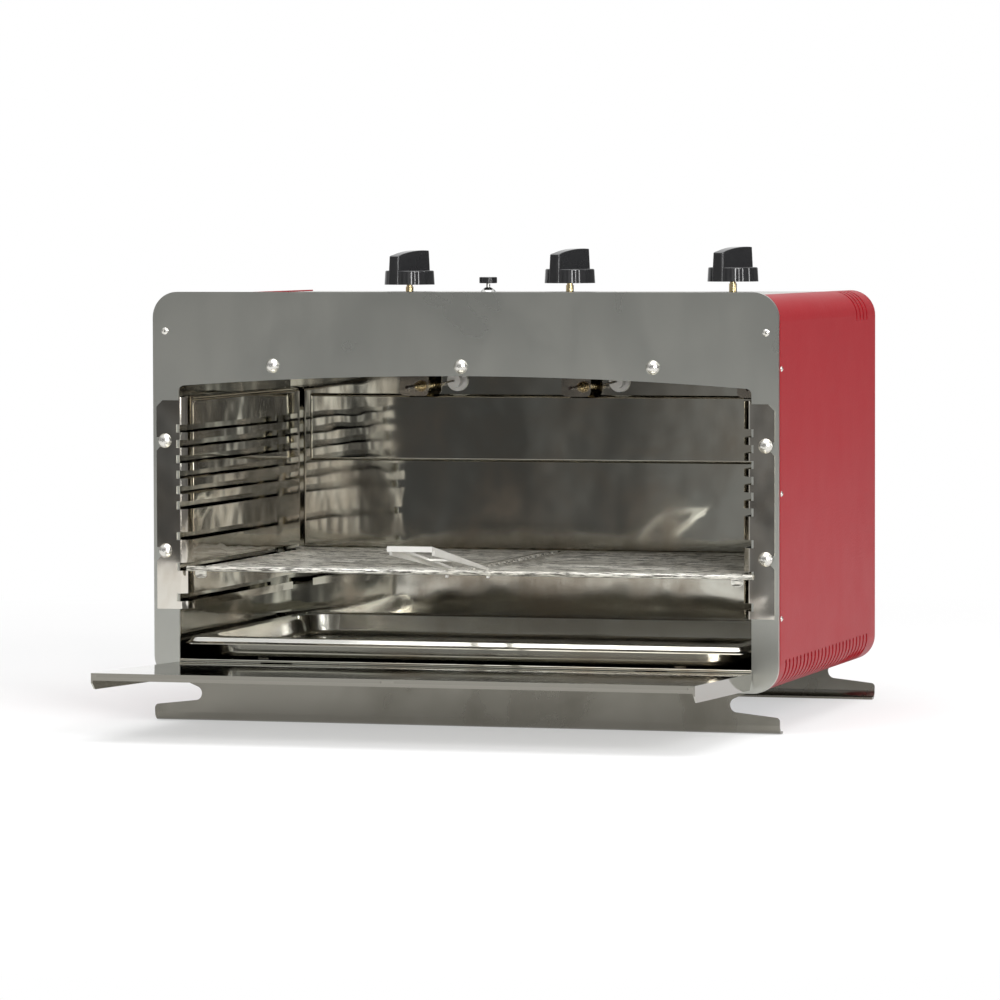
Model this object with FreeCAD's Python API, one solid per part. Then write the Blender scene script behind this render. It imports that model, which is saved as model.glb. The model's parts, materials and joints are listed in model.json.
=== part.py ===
import FreeCAD
import Part
import math
import os
from FreeCAD import Vector

# Table-top gas grill with overhead infrared burners. Millimetres, +Z up.
# Pieces are drawn with Y = 0 on the face of the front frame, +Y to the rear and X = 0 on the
# middle of the cabinet. save() moves them so that the origin is the bottom centre of the whole.

# Cabinet
post_width = 25.7
foot_height = 38.0
top_space = 32.2
corner_radius = 24.0
cover_thickness = 1.2
panel_thickness = 1.0
fit_gap = 0.1
match = 0.01
top_return = 1.5
bottom_return = 12.5
rear_return = 14.0
top_fold = 15.0
top_bend = 0.5

# Front frame
frame_thickness = 2.0
frame_rim_depth = 2.5
frame_rim_width = 2.8
frame_side_inset = 0.5
frame_drop = 1.2
frame_rise = 2.5
frame_tongue_depth = 12.0

# Opening in the front frame
sill_rise = 17.5
opening_height = 257.5
arch_rise = 10.0
opening_corner = 5.5

# Cooking cavity
cavity_side_step = 2.2
floor_rib_height = 1.7
floor_rib_width = 10.0
floor_rib_inset = 30.0
floor_rib_front = 24.0
floor_rib_rear = 10.0
lip_radius = 1.35
shield_side_room = 20.3
shield_height = 66.0
shield_drop = 82.8
shield_stand_off = 9.0
shield_edge_radius = 3.0
bearer_width = 18.0
bearer_flange = 9.0
bearer_front_room = 14.0
bearer_rear_room = 20.0
bearer_outer_share = 0.88
bearer_inner_share = 0.3
bearer_bend = 0.8
hood_bend = 1.5
hood_notch_depth = 8.0
hood_flange_gap = 3.0

# Rail inserts
rail_thickness = 1.2
rail_inset = 9.8
rail_rear_room = 8.0
rail_flange_reach = 21.6
rail_flange_corner = 7.0
rail_knee_room = 0.5
rail_knee_bend = 0.8
rail_lip_room = 0.6
rail_jog_bend = 14.0
rail_lip_bend = 3.2
rail_lip_start = 5.0
rail_bottom_rise = 48.9
rail_top_drop = 11.0
rail_flange_top_drop = 3.0
rail_heel_length = 23.0
rail_heel_height = 18.0
slot_height = 7.45
slot_levels = (0, 2, 4, 6, 7, 8, 9, 10, 11)
first_slot_rise = 10.74
last_slot_drop = 29.23
grate_level = 1
slot_rear_web = 4.0
hook_notch_width = 6.4
hook_chamfer = 6.0

# Fasteners
dome_head_radius = 6.65
dome_head_height = 4.4
dome_shank_radius = 2.5
dome_shank_length = 12.0
hole_clearance = 0.15
side_screw_inset = 12.3
side_screw_setback = 4.0
side_screw_share = 0.363
rear_screw_share = 0.42
low_rail_screw_rise = 54.35
high_rail_screw_drop = 40.65
top_screw_spacing = 182.0
top_screw_rise = 18.6
rivet_rise = 50.5
rivet_radius = 3.2
rivet_height = 1.2
rivet_sink_radius = 1.3
small_head_radius = 2.6
small_head_height = 1.6
small_shank_radius = 1.5
small_shank_length = 6.0

# Vent slots in the side covers and the rear cover
vent_width = 5.6
vent_count = 24
vent_front = 27.0
vent_rear = 37.2
vent_height = 28.5
vent_reach = 19.0
top_vent_count = 4
rear_vent_count = 15
rear_vent_margin = 55.0
rear_vent_rows = 2
rear_vent_drop = 60.0
rear_vent_row_step = 34.0
rear_vent_height = 20.0

# Feet
foot_thickness = 2.0
foot_bend = 6.0
foot_flange_bend = 1.5
foot_pad = 5.0
foot_flange = 30.0
foot_top_inset = 25.0
toe_tip_height = 14.8
toe_root_height = 19.3
toe_root_rise = 1.2
toe_root_run = 5.5
toe_corner = 4.0
foot_neck_inset = 46.5
foot_neck_height = 9.8
notch_radius = 6.5
foot_screw_share = 0.42
foot_screw_setback = 18.0
foot_flange_gap = 0.5
foot_cover_gap = 0.3

# Front ledge
ledge_reach = 226.0
ledge_front_inset = 21.2
ledge_rear_inset = 25.0
ledge_corner = 2.5
ledge_climb = 6.75
ledge_thickness = 1.5
ledge_skirt = 15.0
ledge_skirt_setback = 9.0
ledge_blend = 0.2
ledge_skirt_lean = 2.0
ledge_skirt_share = 0.6
ledge_skirt_corner = 3.0
ledge_hem = 3.6
ledge_hem_inset = 6.0
ledge_hem_return = 7.0
ledge_hem_return_inset = 14.0
ledge_notch_width = 12.0
ledge_notch_height = 2.0
ledge_gap = 1.6
ledge_drop = 0.3
tongue_width = 30.0
tongue_length = 17.0
tongue_overlap = 14.0
tongue_spacing = 360.0
tongue_thickness = 2.0
tongue_gap = 0.3

# Drip tray: the catering size that the cavity is built round
tray_width = 530.0
tray_depth = 325.0
tray_height = 20.0
tray_thickness = 1.0
tray_rim = 11.0
tray_flare = 5.4
tray_skirt = 6.6
tray_face_rise = 2.2
tray_face_flare = 2.6
tray_crest_radius = 1.2
tray_lip_radius = 2.0
tray_rim_corner = 7.0
tray_wall_lean = 4.0
tray_inner_corner = 34.0
tray_floor_radius = 7.0
tray_front = 3.0
tray_side_room = 9.3
tray_rear_room = 0.6

# Grates: two slotted plates that lie in a carrying frame of round bar and flat strip
grate_bar_radius = 2.4
grate_bar_engagement = 6.4
grate_shift = 5.2
grate_front = -5.0
grate_rear_play = 1.0
grate_strip_width = 10.6
grate_strip_thickness = 1.8
grate_strip_inset = 7.8
grate_tab_drop = 11.0
grate_tab_bend = 6.8
grate_tab_thickness = 1.5
grate_tab_end_room = 0.1
grate_tab_span = 6.0
grate_tab_corner = 3.6
grate_tab_lean = 0.8
plate_play = 2.8
plate_slack = 0.2
plate_seam = 9.0
plate_thickness = 2.0
plate_gap = 0.7
plate_slot_pitch = 16.5
plate_slot_width = 6.5
plate_rim = 10.0
plate_side_web = 11.0
plate_tooth = 4.0
plate_notch_width = 44.0
plate_notch_depth = 4.5

# Lifting handle of the grates
handle_length = 181.0
handle_width = 42.0
handle_shift = 6.8
handle_tilt = 9.4
handle_thickness = 2.0
handle_arm = 8.0
handle_side_height = 5.5
handle_side_end = 0.6
handle_side_start = 8.0
handle_lip_height = 3.0
handle_grip = 24.0
handle_bar_place = 62.0
handle_bar = 9.0
hook_thickness = 2.6
hook_bite = 0.5
hook_mouth_rise = 0.4
hook_wrap = 1.8
hook_gap = 0.35

# Burners
burner_pitch = 164.5
burner_shift = 1.5
burner_count = 3
burner_width = 150.0
burner_height = 37.2
burner_sight_gap = 3.9
burner_front = 50.0
burner_rear_room = 23.0
burner_wall = 1.2
burner_lip = 6.0
plaque_thickness = 13.0
mixing_tube_radius = 10.4
mixing_tube_bore = 9.2
mixing_tube_length = 31.0
mixing_mouth_radius = 13.5
mixing_mouth_length = 5.0

# Gas line
valve_row_room = 33.0
gas_line_drop = 12.1
manifold_size = 16.0
manifold_wall = 1.6
manifold_end = 33.5
valve_width = 30.0
valve_depth = 34.0
valve_height = 37.0
valve_inlet_depth = 7.0
valve_floor = 1.5
valve_corner = 3.0
bonnet_size = 36.0
bonnet_thickness = 2.0
bonnet_neck_radius = 7.0
bonnet_neck_height = 5.0
valve_chamber_radius = 7.6
valve_chamber_floor = 13.0
injector_radius = 5.0
injector_length = 12.0
injector_hex_share = 0.55
injector_nozzle_radius = 2.8
injector_bore_radius = 0.6
bracket_thickness = 2.0
bracket_width = 14.0
bracket_drop = 18.0
bracket_bend = 1.5
inlet_offset = 9.0
inlet_radius = 7.0
inlet_wall = 3.6
inlet_hole_room = 0.4
inlet_hex_size = 19.0
inlet_hex_length = 8.0
inlet_thread_radius = 6.58
inlet_thread_length = 14.0

# Knobs and spindles
spindle_radius = 3.8
spindle_clearance = 0.06
spindle_collar_radius = 6.6
spindle_collar_height = 3.0
spindle_flat_radius = 3.0
spindle_flat = 1.9
spindle_engagement = 15.0
spindle_step_drop = 2.0
spindle_end_room = 0.5
spindle_hole_room = 3.0
push_head_radius = 6.4
push_head_height = 2.8
push_pin_radius = 2.0
push_pin_length = 22.0
knob_gap = 8.4
knob_row_climb = 1.6
knob_radius = 24.9
knob_taper = 0.8
knob_skirt_height = 14.0
knob_edge_radius = 1.4
knob_height = 33.8
knob_low_end = 6.4
knob_crown_place = 13.0
knob_grip_edge = 0.8
knob_draft = 1.7
knob_nose_width = 13.7
knob_nose_length = 4.6
knob_nose_radius = 2.5
knob_nose_reach = 25.3
knob_nose_step = 0.7
knob_tail_width = 16.0
knob_tail_reach = 22.9
knob_tail_radius = 1.2
knob_turn = 25.0
knob_hollow = 3.0
knob_wall = 4.0

# Igniter
igniter_offset = 1.25
igniter_body_radius = 9.0
igniter_body_length = 34.0
bezel_radius = 7.6
bezel_height = 4.6
button_radius = 8.8
button_height = 6.1
button_neck_radius = 2.0
button_clearance = 0.05
button_edge_radius = 0.7
button_lift = 3.6
button_stem_depth = 14.0

# Flame sensors and spark electrodes, placed from the middle of their burner
sensor_drop = 8.5
sensor_offset = 29.0
last_sensor_shift = 11.0
sensor_bracket_width = 29.0
sensor_bracket_shift = 7.5
sensor_bracket_corner = 5.0
sensor_bracket_drop = 32.0
sensor_bracket_height = 44.0
sensor_bracket_thickness = 1.2
sensor_tip_radius = 1.6
sensor_tip_length = 24.0
sensor_cone_radius = 5.4
sensor_cone_length = 22.0
sensor_nut_length = 2.0
sensor_sleeve_radius = 3.0
wall_tail = 12.0
electrode_spacing = 30.5
electrode_drop = 3.5
electrode_radius = 6.6
electrode_reach = 14.0
electrode_collar_radius = 10.3
electrode_collar_length = 3.0
wire_radius = 0.9
wire_length = 5.0
wire_arm = 11.0
wire_dip = 3.0
wire_reach = 4.0
wire_bend = 2.5

# Return springs
spring_wall = 0.8
spring_clearance = 0.3

# Widths, heights and planes that several pieces share
opening_width = tray_width + 2 * tray_side_room
cabinet_width = opening_width + 2 * post_width
half_width = cabinet_width / 2
underside = foot_height
sill = underside + sill_rise
shoulder = sill + opening_height
opening_half = opening_width / 2
cavity_half = opening_half + cavity_side_step
cavity_rear = tray_front + tray_depth + tray_flare + tray_rear_room
floor_under = sill + fit_gap
floor_top = floor_under + cover_thickness
rib_top = floor_top + floor_rib_height
hood_under = shoulder + arch_rise + burner_sight_gap + burner_height
hood_top = hood_under + cover_thickness
cover_top = hood_top + top_space
cover_height = cover_top - underside
valve_row = cavity_rear + valve_row_room
cabinet_depth = valve_row + valve_row_room
top_sheet_top = cover_top - cover_thickness - fit_gap
top_sheet_under = top_sheet_top - panel_thickness
bottom_panel_under = underside + cover_thickness
bottom_panel_top = bottom_panel_under + cover_thickness
rear_sheet_rear = cabinet_depth - cover_thickness - fit_gap
rear_sheet_front = rear_sheet_rear - cover_thickness
rail_inner = opening_half - rail_inset
rail_length = cavity_rear - rail_rear_room
rail_bottom = sill + rail_bottom_rise
rail_top = shoulder - rail_top_drop
lowest_slot = rail_bottom + first_slot_rise
slot_pitch = (rail_top - last_slot_drop - lowest_slot) / max(slot_levels)
rail_slot_end = rail_length - slot_rear_web
vent_pitch = (cabinet_depth - vent_front - vent_rear) / (vent_count - 1)
foot_top_half = half_width - foot_top_inset
foot_neck_half = half_width - foot_neck_inset
screw_line = half_width - side_screw_inset
grate_bottom = lowest_slot + slot_levels[grate_level] * slot_pitch - slot_height / 2 + fit_gap
grate_axis = grate_bottom + grate_bar_radius
grate_top = grate_axis + grate_bar_radius
plate_bottom = grate_top - plate_thickness
bar_y = grate_front + grate_bar_radius
grate_depth = rail_slot_end - grate_rear_play - grate_front
grate_strip_spacing = 2 * (rail_inner - grate_strip_inset)
plate_width = (grate_strip_spacing - plate_seam) / 2 - plate_slack
tray_bottom = rib_top + fit_gap
tray_top = tray_bottom + tray_height
ledge_slope = ledge_climb / ledge_reach
burner_bottom = hood_under - burner_height
burner_rear = cavity_rear - burner_rear_room
sensor_level = shoulder - sensor_drop
electrode_level = shoulder - electrode_drop
gas_line_height = hood_under - gas_line_drop
valve_base = gas_line_height - valve_inlet_depth
valve_top = valve_base + valve_height
bonnet_top = valve_top + bonnet_thickness + bonnet_neck_height
inlet_place = burner_shift - burner_pitch - inlet_offset
inlet_face = rear_sheet_rear + fit_gap
inlet_tip = inlet_face + inlet_hex_length + inlet_thread_length
origin_shift = (ledge_reach - inlet_tip) / 2


# Drawing helpers
def unit(vector):
    copy = Vector(vector)
    copy.normalize()
    return copy


def box(x, y, z):
    """Block between pairs of X, Y and Z limits."""
    size = [max(pair) - min(pair) for pair in (x, y, z)]
    return Part.makeBox(*size, Vector(min(x), min(y), min(z)))


def rod(start, end, radius):
    """Round bar from one point to another."""
    run = end - start
    return Part.makeCylinder(radius, run.Length, start, run)


def rounded_run(points, radii, closed):
    """Edges through the points, with an arc at each corner that has a radius."""
    count = len(points)
    corners = range(count) if closed else range(1, count - 1)
    leave = {}
    arrive = {}
    arcs = {}
    for index in corners:
        corner = points[index]
        inward = unit(corner - points[index - 1])
        outward = unit(points[(index + 1) % count] - corner)
        turn = inward.getAngle(outward)
        radius = radii[index]
        if radius < match or turn < match / 10:
            continue
        reach = radius * math.tan(turn / 2)
        arrive[index] = corner - inward * reach
        leave[index] = corner + outward * reach
        bisector = unit(outward - inward)
        middle = corner + bisector * (radius / math.cos(turn / 2) - radius)
        arcs[index] = Part.Arc(arrive[index], middle, leave[index]).toShape()
    edges = []
    for index in range(count if closed else count - 1):
        after = (index + 1) % count
        start = leave.get(index, points[index])
        end = arrive.get(after, points[after])
        if start.distanceToPoint(end) > 0.0001:
            edges.append(Part.LineSegment(start, end).toShape())
        if after in arcs:
            edges.append(arcs[after])
    return edges


def plate(points, run, radii=0.0):
    """Solid from a closed outline, drawn out along run."""
    if isinstance(radii, (int, float)):
        radii = [radii] * len(points)
    wire = Part.Wire(Part.sortEdges(rounded_run(points, radii, True))[0])
    return Part.Face(wire).extrude(run)


def sheet_outline(points, thickness, bend, across):
    """Closed section of a sheet whose middle line follows the points; bend is the inside radius."""
    last = len(points) - 1
    if isinstance(bend, (int, float)):
        bend = [bend] * len(points)
    sides = []
    for side in (1, -1):
        line = []
        radii = []
        for index, point in enumerate(points):
            before = unit(point - points[index - 1]) if index else None
            after = unit(points[index + 1] - point) if index < last else None
            along = before or after
            normal = across.cross(along)
            if before and after:
                mitre = unit(across.cross(before) + across.cross(after))
                shift = mitre * (thickness / 2 / mitre.dot(normal))
                turning = 1 if before.cross(after).dot(across) > 0 else -1
                radii.append(bend[index] + thickness / 2 - side * turning * thickness / 2)
            else:
                shift = normal * (thickness / 2)
                radii.append(0.0)
            line.append(point + shift * side)
        sides.append((line, radii))
    edges = rounded_run(sides[0][0], sides[0][1], False)
    edges += rounded_run(sides[1][0], sides[1][1], False)
    for end in (0, last):
        edges.append(Part.LineSegment(sides[0][0][end], sides[1][0][end]).toShape())
    return Part.Wire(Part.sortEdges(edges)[0])


def folded_sheet(points, thickness, bend, run):
    """Bent sheet drawn out along run."""
    return Part.Face(sheet_outline(points, thickness, bend, unit(run))).extrude(run)


def mirrored(shape):
    """The same piece on the other side of the cabinet."""
    return shape.mirror(Vector(0, 0, 0), Vector(1, 0, 0))


def joined(shapes):
    """One solid from pieces that touch or overlap."""
    return shapes[0].fuse(shapes[1:]).removeSplitter()


def group(shapes):
    """Separate solids that share one node."""
    return Part.makeCompound(shapes)


def rim_outline(side, low, high, radius, y):
    """Corners and radius of an upright rounded rectangle."""
    corners = [(-side, low), (side, low), (side, high), (-side, high)]
    return [Vector(x, y, z) for x, z in corners], radius


def hexagon(centre, across):
    """Corners of an upright hexagon across the Y axis, by its width over the flats."""
    corner = across / math.sqrt(3)
    turns = [math.radians(60 * step) for step in range(6)]
    return [centre + Vector(corner * math.cos(turn), 0, corner * math.sin(turn)) for turn in turns]


def domed_screw(face, inward, head_radius, head_height, shank_radius, shank_length):
    """Screw with a domed head that sits on a face."""
    ball = (head_radius ** 2 + head_height ** 2) / (2 * head_height)
    low = math.degrees(math.asin((ball - head_height) / ball))
    centre = face + inward * (ball - head_height)
    head = Part.makeSphere(ball, centre, inward * -1, low, 90, 360)
    bite = head_height / 4
    shank = Part.makeCylinder(shank_radius, shank_length + bite, face - inward * bite, inward)
    return head.fuse(shank).removeSplitter()


def burner_places():
    middle = (burner_count - 1) / 2
    return [burner_shift + (number - middle) * burner_pitch for number in range(burner_count)]


def save(name, shape):
    """Writes one piece as a STEP file about the common origin."""
    placed = shape.copy()
    placed.translate(Vector(0, origin_shift, 0))
    os.makedirs("parts", exist_ok=True)
    placed.exportStep("parts/" + name + ".step")


# Front frame
def arch_height(x):
    """Height of the arched top edge of the opening at a distance from the middle."""
    chord = opening_half - opening_corner
    radius = (chord ** 2 + arch_rise ** 2) / (2 * arch_rise)
    return shoulder + arch_rise - radius + math.sqrt(radius ** 2 - x ** 2)


def opening_block():
    """Space of the arched opening, through the frame."""
    left = -opening_half
    inner = left + opening_corner
    top = arch_height(inner)
    drop = opening_corner * (1 - math.sqrt(0.5))
    y = -1.0
    points = [Vector(left, y, sill), Vector(left, y, top - opening_corner)]
    corner = Vector(left + drop, y, top - drop)
    arch_start = Vector(inner, y, top)
    crown = Vector(0, y, arch_height(0))
    edges = [
        Part.LineSegment(points[0], points[1]).toShape(),
        Part.Arc(points[1], corner, arch_start).toShape(),
        Part.Arc(arch_start, crown, Vector(-inner, y, top)).toShape(),
        Part.Arc(Vector(-inner, y, top), Vector(-corner.x, y, corner.z),
                 Vector(-left, y, top - opening_corner)).toShape(),
        Part.LineSegment(Vector(-left, y, top - opening_corner), Vector(-left, y, sill)).toShape(),
        Part.LineSegment(Vector(-left, y, sill), points[0]).toShape(),
    ]
    return Part.Face(Part.Wire(edges)).extrude(Vector(0, frame_thickness + 2, 0))


def rail_screw_levels():
    return (rail_bottom + low_rail_screw_rise, rail_top - high_rail_screw_drop)


def rail_screw_places():
    return [Vector(side * screw_line, 0, level)
            for side in (-1, 1) for level in rail_screw_levels()]


def top_screw_places():
    level = arch_height(0) - arch_rise + top_screw_rise
    return [Vector(x, 0, level) for x in (-top_screw_spacing, 0, top_screw_spacing)]


def rivet_places():
    return [Vector(side * screw_line, 0, shoulder + rivet_rise) for side in (-1, 1)]


def tongue_places():
    return (-tongue_spacing / 2, tongue_spacing / 2)


def front_frame():
    side = half_width - frame_side_inset
    low = underside - frame_drop
    high = cover_top + frame_rise
    corners, radius = rim_outline(side, low, high, corner_radius, 0)
    sheet = plate(corners, Vector(0, frame_thickness, 0), radius)
    corners, radius = rim_outline(side, low, high, corner_radius, frame_thickness)
    rim = plate(corners, Vector(0, frame_rim_depth, 0), radius)
    inner, radius = rim_outline(side - frame_rim_width, low + frame_rim_width,
                                high - frame_rim_width, corner_radius - frame_rim_width,
                                frame_thickness)
    foot_place = foot_top_half + 1.0
    gap = box((-foot_place, foot_place), (frame_thickness, frame_thickness + frame_rim_depth),
              (low, low + frame_rim_width))
    rim = rim.cut([plate(inner, Vector(0, frame_rim_depth, 0), radius), gap])
    tongue_outer = half_width - cover_thickness - fit_gap
    tongue_y = (frame_thickness, frame_thickness + frame_rim_depth + frame_tongue_depth)
    tongue_z = (underside + corner_radius + fit_gap, cover_top - corner_radius - fit_gap)
    tongues = [box((s * (tongue_outer - cover_thickness), s * tongue_outer), tongue_y, tongue_z)
               for s in (-1, 1)]
    frame = joined([sheet, rim] + tongues)
    cutters = [opening_block()]
    for place in rail_screw_places() + top_screw_places():
        cutters.append(Part.makeCylinder(dome_shank_radius + hole_clearance, frame_thickness + 2,
                                         place - Vector(0, 1, 0), Vector(0, 1, 0)))
    for place in rivet_places():
        cutters.append(Part.makeCylinder(small_shank_radius + hole_clearance, frame_thickness + 2,
                                         place - Vector(0, 1, 0), Vector(0, 1, 0)))
    for x in tongue_places():
        half = tongue_width / 2 + tongue_gap
        depth = ledge_thickness + tongue_thickness + ledge_drop + 2 * tongue_gap
        cutters.append(box((x - half, x + half), (-1, frame_thickness + 1), (sill - depth, sill)))
    for s in (-1, 1):
        cutters += side_screw_holes(s)
    return frame.cut(cutters)


# Outer covers
def side_screw_levels():
    span = cover_height - 2 * corner_radius
    middle = underside + corner_radius + span / 2
    return [middle + step * span * side_screw_share for step in (-1, 0, 1)]


def side_screw_y():
    return frame_thickness + frame_rim_depth + side_screw_setback


def side_screw_holes(side):
    start = half_width - 2 * cover_thickness - 2
    return [Part.makeCylinder(small_shank_radius + hole_clearance, half_width + 2 - start,
                              Vector(side * start, side_screw_y(), level), Vector(side, 0, 0))
            for level in side_screw_levels()]


def vent_cutter(y, low, high, round_end):
    """Slot across the bend of a side cover, with a round end on the flat side."""
    inner = half_width - vent_reach
    outer = half_width + 1
    slot = box((inner, outer), (y - vent_width / 2, y + vent_width / 2), (low, high))
    end = rod(Vector(inner, y, round_end), Vector(outer, y, round_end), vent_width / 2)
    return slot.fuse(end)


def right_side_cover():
    front = frame_thickness + frame_rim_depth
    outer = half_width - cover_thickness / 2
    top_end = half_width - corner_radius - top_return
    bottom_end = half_width - corner_radius - bottom_return
    low = underside + cover_thickness / 2
    high = cover_top - cover_thickness / 2
    path = [Vector(top_end, front, high), Vector(outer, front, high),
            Vector(outer, front, low), Vector(bottom_end, front, low)]
    shell = folded_sheet(path, cover_thickness, corner_radius - cover_thickness,
                         Vector(0, cabinet_depth - front, 0))
    rear = box((half_width - rear_return, half_width - cover_thickness / 2),
               (cabinet_depth - cover_thickness, cabinet_depth),
               (underside + corner_radius, cover_top - corner_radius))
    cover = joined([shell, rear])
    cutters = side_screw_holes(1) + rear_screw_holes(1)
    for number in range(vent_count):
        y = vent_front + number * vent_pitch
        round_end = underside + vent_height - vent_width / 2
        cutters.append(vent_cutter(y, underside - 1, round_end, round_end))
    for number in range(top_vent_count):
        y = vent_front + (vent_count - 1 - number) * vent_pitch
        round_end = cover_top - vent_height + vent_width / 2
        cutters.append(vent_cutter(y, round_end, cover_top + 1, round_end))
    return cover.cut(cutters)


def top_cover():
    side = half_width - corner_radius - panel_thickness / 2
    level = top_sheet_top - panel_thickness / 2
    path = [Vector(-side, frame_thickness, level - top_fold), Vector(-side, frame_thickness, level),
            Vector(side, frame_thickness, level), Vector(side, frame_thickness, level - top_fold)]
    sheet = folded_sheet(path, panel_thickness, top_bend,
                         Vector(0, rear_sheet_front - frame_thickness, 0))
    cutters = []
    for x in burner_places():
        cutters.append(rod(Vector(x, valve_row, top_sheet_under - 1),
                           Vector(x, valve_row, top_sheet_top + 1),
                           spindle_radius + spindle_hole_room))
    cutters.append(rod(igniter_axis(top_sheet_under - 1), igniter_axis(top_sheet_top + 1),
                       button_neck_radius + 1.0))
    return sheet.cut(cutters)


def rear_screw_levels():
    span = cover_height - 2 * corner_radius
    middle = underside + corner_radius + span / 2
    return [middle + step * span * rear_screw_share for step in (-1, 0, 1)]


def rear_screw_x():
    return half_width - rear_return / 2 - cover_thickness / 2


def rear_screw_holes(side):
    start = rear_sheet_front - 2 * cover_thickness
    return [Part.makeCylinder(small_shank_radius + hole_clearance, cabinet_depth + 1 - start,
                              Vector(side * rear_screw_x(), start, level), Vector(0, 1, 0))
            for level in rear_screw_levels()]


def rear_cover():
    gap = cover_thickness + fit_gap
    corners, radius = rim_outline(half_width - gap, underside + gap, cover_top - gap,
                                  corner_radius - gap, rear_sheet_front)
    sheet = plate(corners, Vector(0, cover_thickness, 0), radius)
    cutters = rear_screw_holes(1) + rear_screw_holes(-1)
    cutters.append(rod(Vector(inlet_place, rear_sheet_front - 1, inlet_level()),
                       Vector(inlet_place, rear_sheet_rear + 1, inlet_level()),
                       inlet_radius + inlet_hole_room))
    span = cabinet_width - 2 * rear_vent_margin
    half = vent_width / 2
    for row in range(rear_vent_rows):
        level = cover_top - rear_vent_drop - row * rear_vent_row_step
        for number in range(rear_vent_count):
            x = span * (number / (rear_vent_count - 1)) - span / 2
            beside = abs(x - inlet_place) > inlet_hex_size
            above = level > inlet_level() + inlet_hex_size / 2
            if beside or above:
                cutters.append(box((x - half, x + half), (rear_sheet_front - 1, rear_sheet_rear + 1),
                                   (level, level + rear_vent_height)))
    return sheet.cut(cutters)


def bottom_panel():
    side = half_width - corner_radius
    front = frame_thickness + frame_rim_depth + fit_gap
    sheet = box((-side, side), (front, rear_sheet_front - fit_gap),
                (bottom_panel_under, bottom_panel_top))
    cutters = []
    for y in foot_screw_rows():
        for x in foot_screw_columns():
            cutters.append(rod(Vector(x, y, bottom_panel_under - 1),
                               Vector(x, y, bottom_panel_top + 1),
                               small_shank_radius + hole_clearance))
    return sheet.cut(cutters)


# Feet
def foot_screw_columns():
    return [step * 2 * foot_neck_half * foot_screw_share for step in (-1, 0, 1)]


def foot_screw_rows():
    inset = frame_thickness + foot_screw_setback
    return (inset, cabinet_depth + frame_thickness - inset)


def foot_web_outline():
    """Right half of the foot's front view, from the middle, as corners and radii."""
    neck = foot_neck_half
    tip = half_width
    top = bottom_panel_under
    notch_low = toe_root_height + toe_root_rise
    return [
        (0, 0, 0.0),
        (tip, 0, 0.0),
        (tip, toe_tip_height, toe_corner),
        (neck + toe_root_run, toe_root_height, 0.0),
        (neck, notch_low, notch_radius),
        (neck, notch_low + foot_neck_height, notch_radius),
        (foot_top_half, top, 0.0),
        (0, top, 0.0),
    ]


def front_foot():
    face = frame_thickness
    middle = face + foot_thickness / 2
    low = foot_thickness / 2
    high = bottom_panel_under - foot_thickness / 2
    bent_rear = middle + foot_bend + foot_thickness / 2 + foot_pad
    path = [Vector(-half_width, bent_rear, low), Vector(-half_width, middle, low),
            Vector(-half_width, middle, high),
            Vector(-half_width, face + foot_flange, high)]
    bends = [0.0, foot_bend, foot_flange_bend, 0.0]
    sheet = folded_sheet(path, foot_thickness, bends, Vector(cabinet_width, 0, 0))
    half = foot_web_outline()
    right = [Vector(x, 0, z) for x, z, radius in half]
    radii = [radius for x, z, radius in half]
    web = plate(right, Vector(0, face + foot_flange + 1, 0), radii)
    web = web.fuse(mirrored(web)).removeSplitter()
    foot = sheet.common(web)
    flange = half_width - corner_radius - bottom_return - foot_flange_gap
    ends = [box((s * flange, s * half_width), (face - 1, face + foot_flange + 1),
                (underside - 2 * fit_gap, bottom_panel_under + 1)) for s in (-1, 1)]
    ends += [box((s * flange, s * half_width),
                 (face + foot_thickness + foot_cover_gap, face + foot_flange + 1),
                 (high - foot_thickness, bottom_panel_under + 1)) for s in (-1, 1)]
    holes = [rod(Vector(x, foot_screw_rows()[0], high - 2), Vector(x, foot_screw_rows()[0], high + 2),
                 small_shank_radius + hole_clearance) for x in foot_screw_columns()]
    return foot.cut(ends + holes)


def rear_foot():
    turned = front_foot()
    turned.rotate(Vector(0, 0, 0), Vector(0, 0, 1), 180)
    turned.translate(Vector(0, cabinet_depth + frame_thickness, 0))
    return turned


# Cooking cavity
def cavity_wall_right():
    return box((cavity_half, cavity_half + panel_thickness),
               (frame_thickness, cavity_rear + panel_thickness), (floor_under, hood_under))


def cavity_back():
    wall = box((-cavity_half, cavity_half), (cavity_rear, cavity_rear + panel_thickness),
               (floor_top, hood_under))
    rows = ((burner_places(), gas_line_height, mixing_tube_radius),
            (sensor_places(), sensor_level, sensor_sleeve_radius),
            (electrode_places(), electrode_level, electrode_radius))
    cutters = []
    for places, level, radius in rows:
        for x in places:
            cutters.append(rod(Vector(x, cavity_rear - 1, level),
                               Vector(x, cavity_rear + panel_thickness + 1, level),
                               radius + hole_clearance))
    return wall.cut(cutters)


def cavity_floor():
    sheet = box((-cavity_half, cavity_half), (frame_thickness, cavity_rear),
                (floor_under, floor_top))
    nose_y = -ledge_gap + lip_radius + fit_gap
    strip = box((-opening_half, opening_half), (nose_y, frame_thickness), (floor_under, floor_top))
    bead = rod(Vector(-opening_half, nose_y, floor_under + lip_radius),
               Vector(opening_half, nose_y, floor_under + lip_radius), lip_radius)
    ribs = []
    for s in (-1, 1):
        place = s * (tray_width / 2 - tray_inner_corner - floor_rib_inset)
        ribs.append(box((place - floor_rib_width / 2, place + floor_rib_width / 2),
                        (frame_thickness + floor_rib_front, cavity_rear - floor_rib_rear),
                        (floor_under, rib_top)))
    return joined([sheet, strip, bead] + ribs)


def bearer_places():
    shares = (-bearer_outer_share, -bearer_inner_share, bearer_inner_share, bearer_outer_share)
    return [share * opening_half for share in shares]


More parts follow.
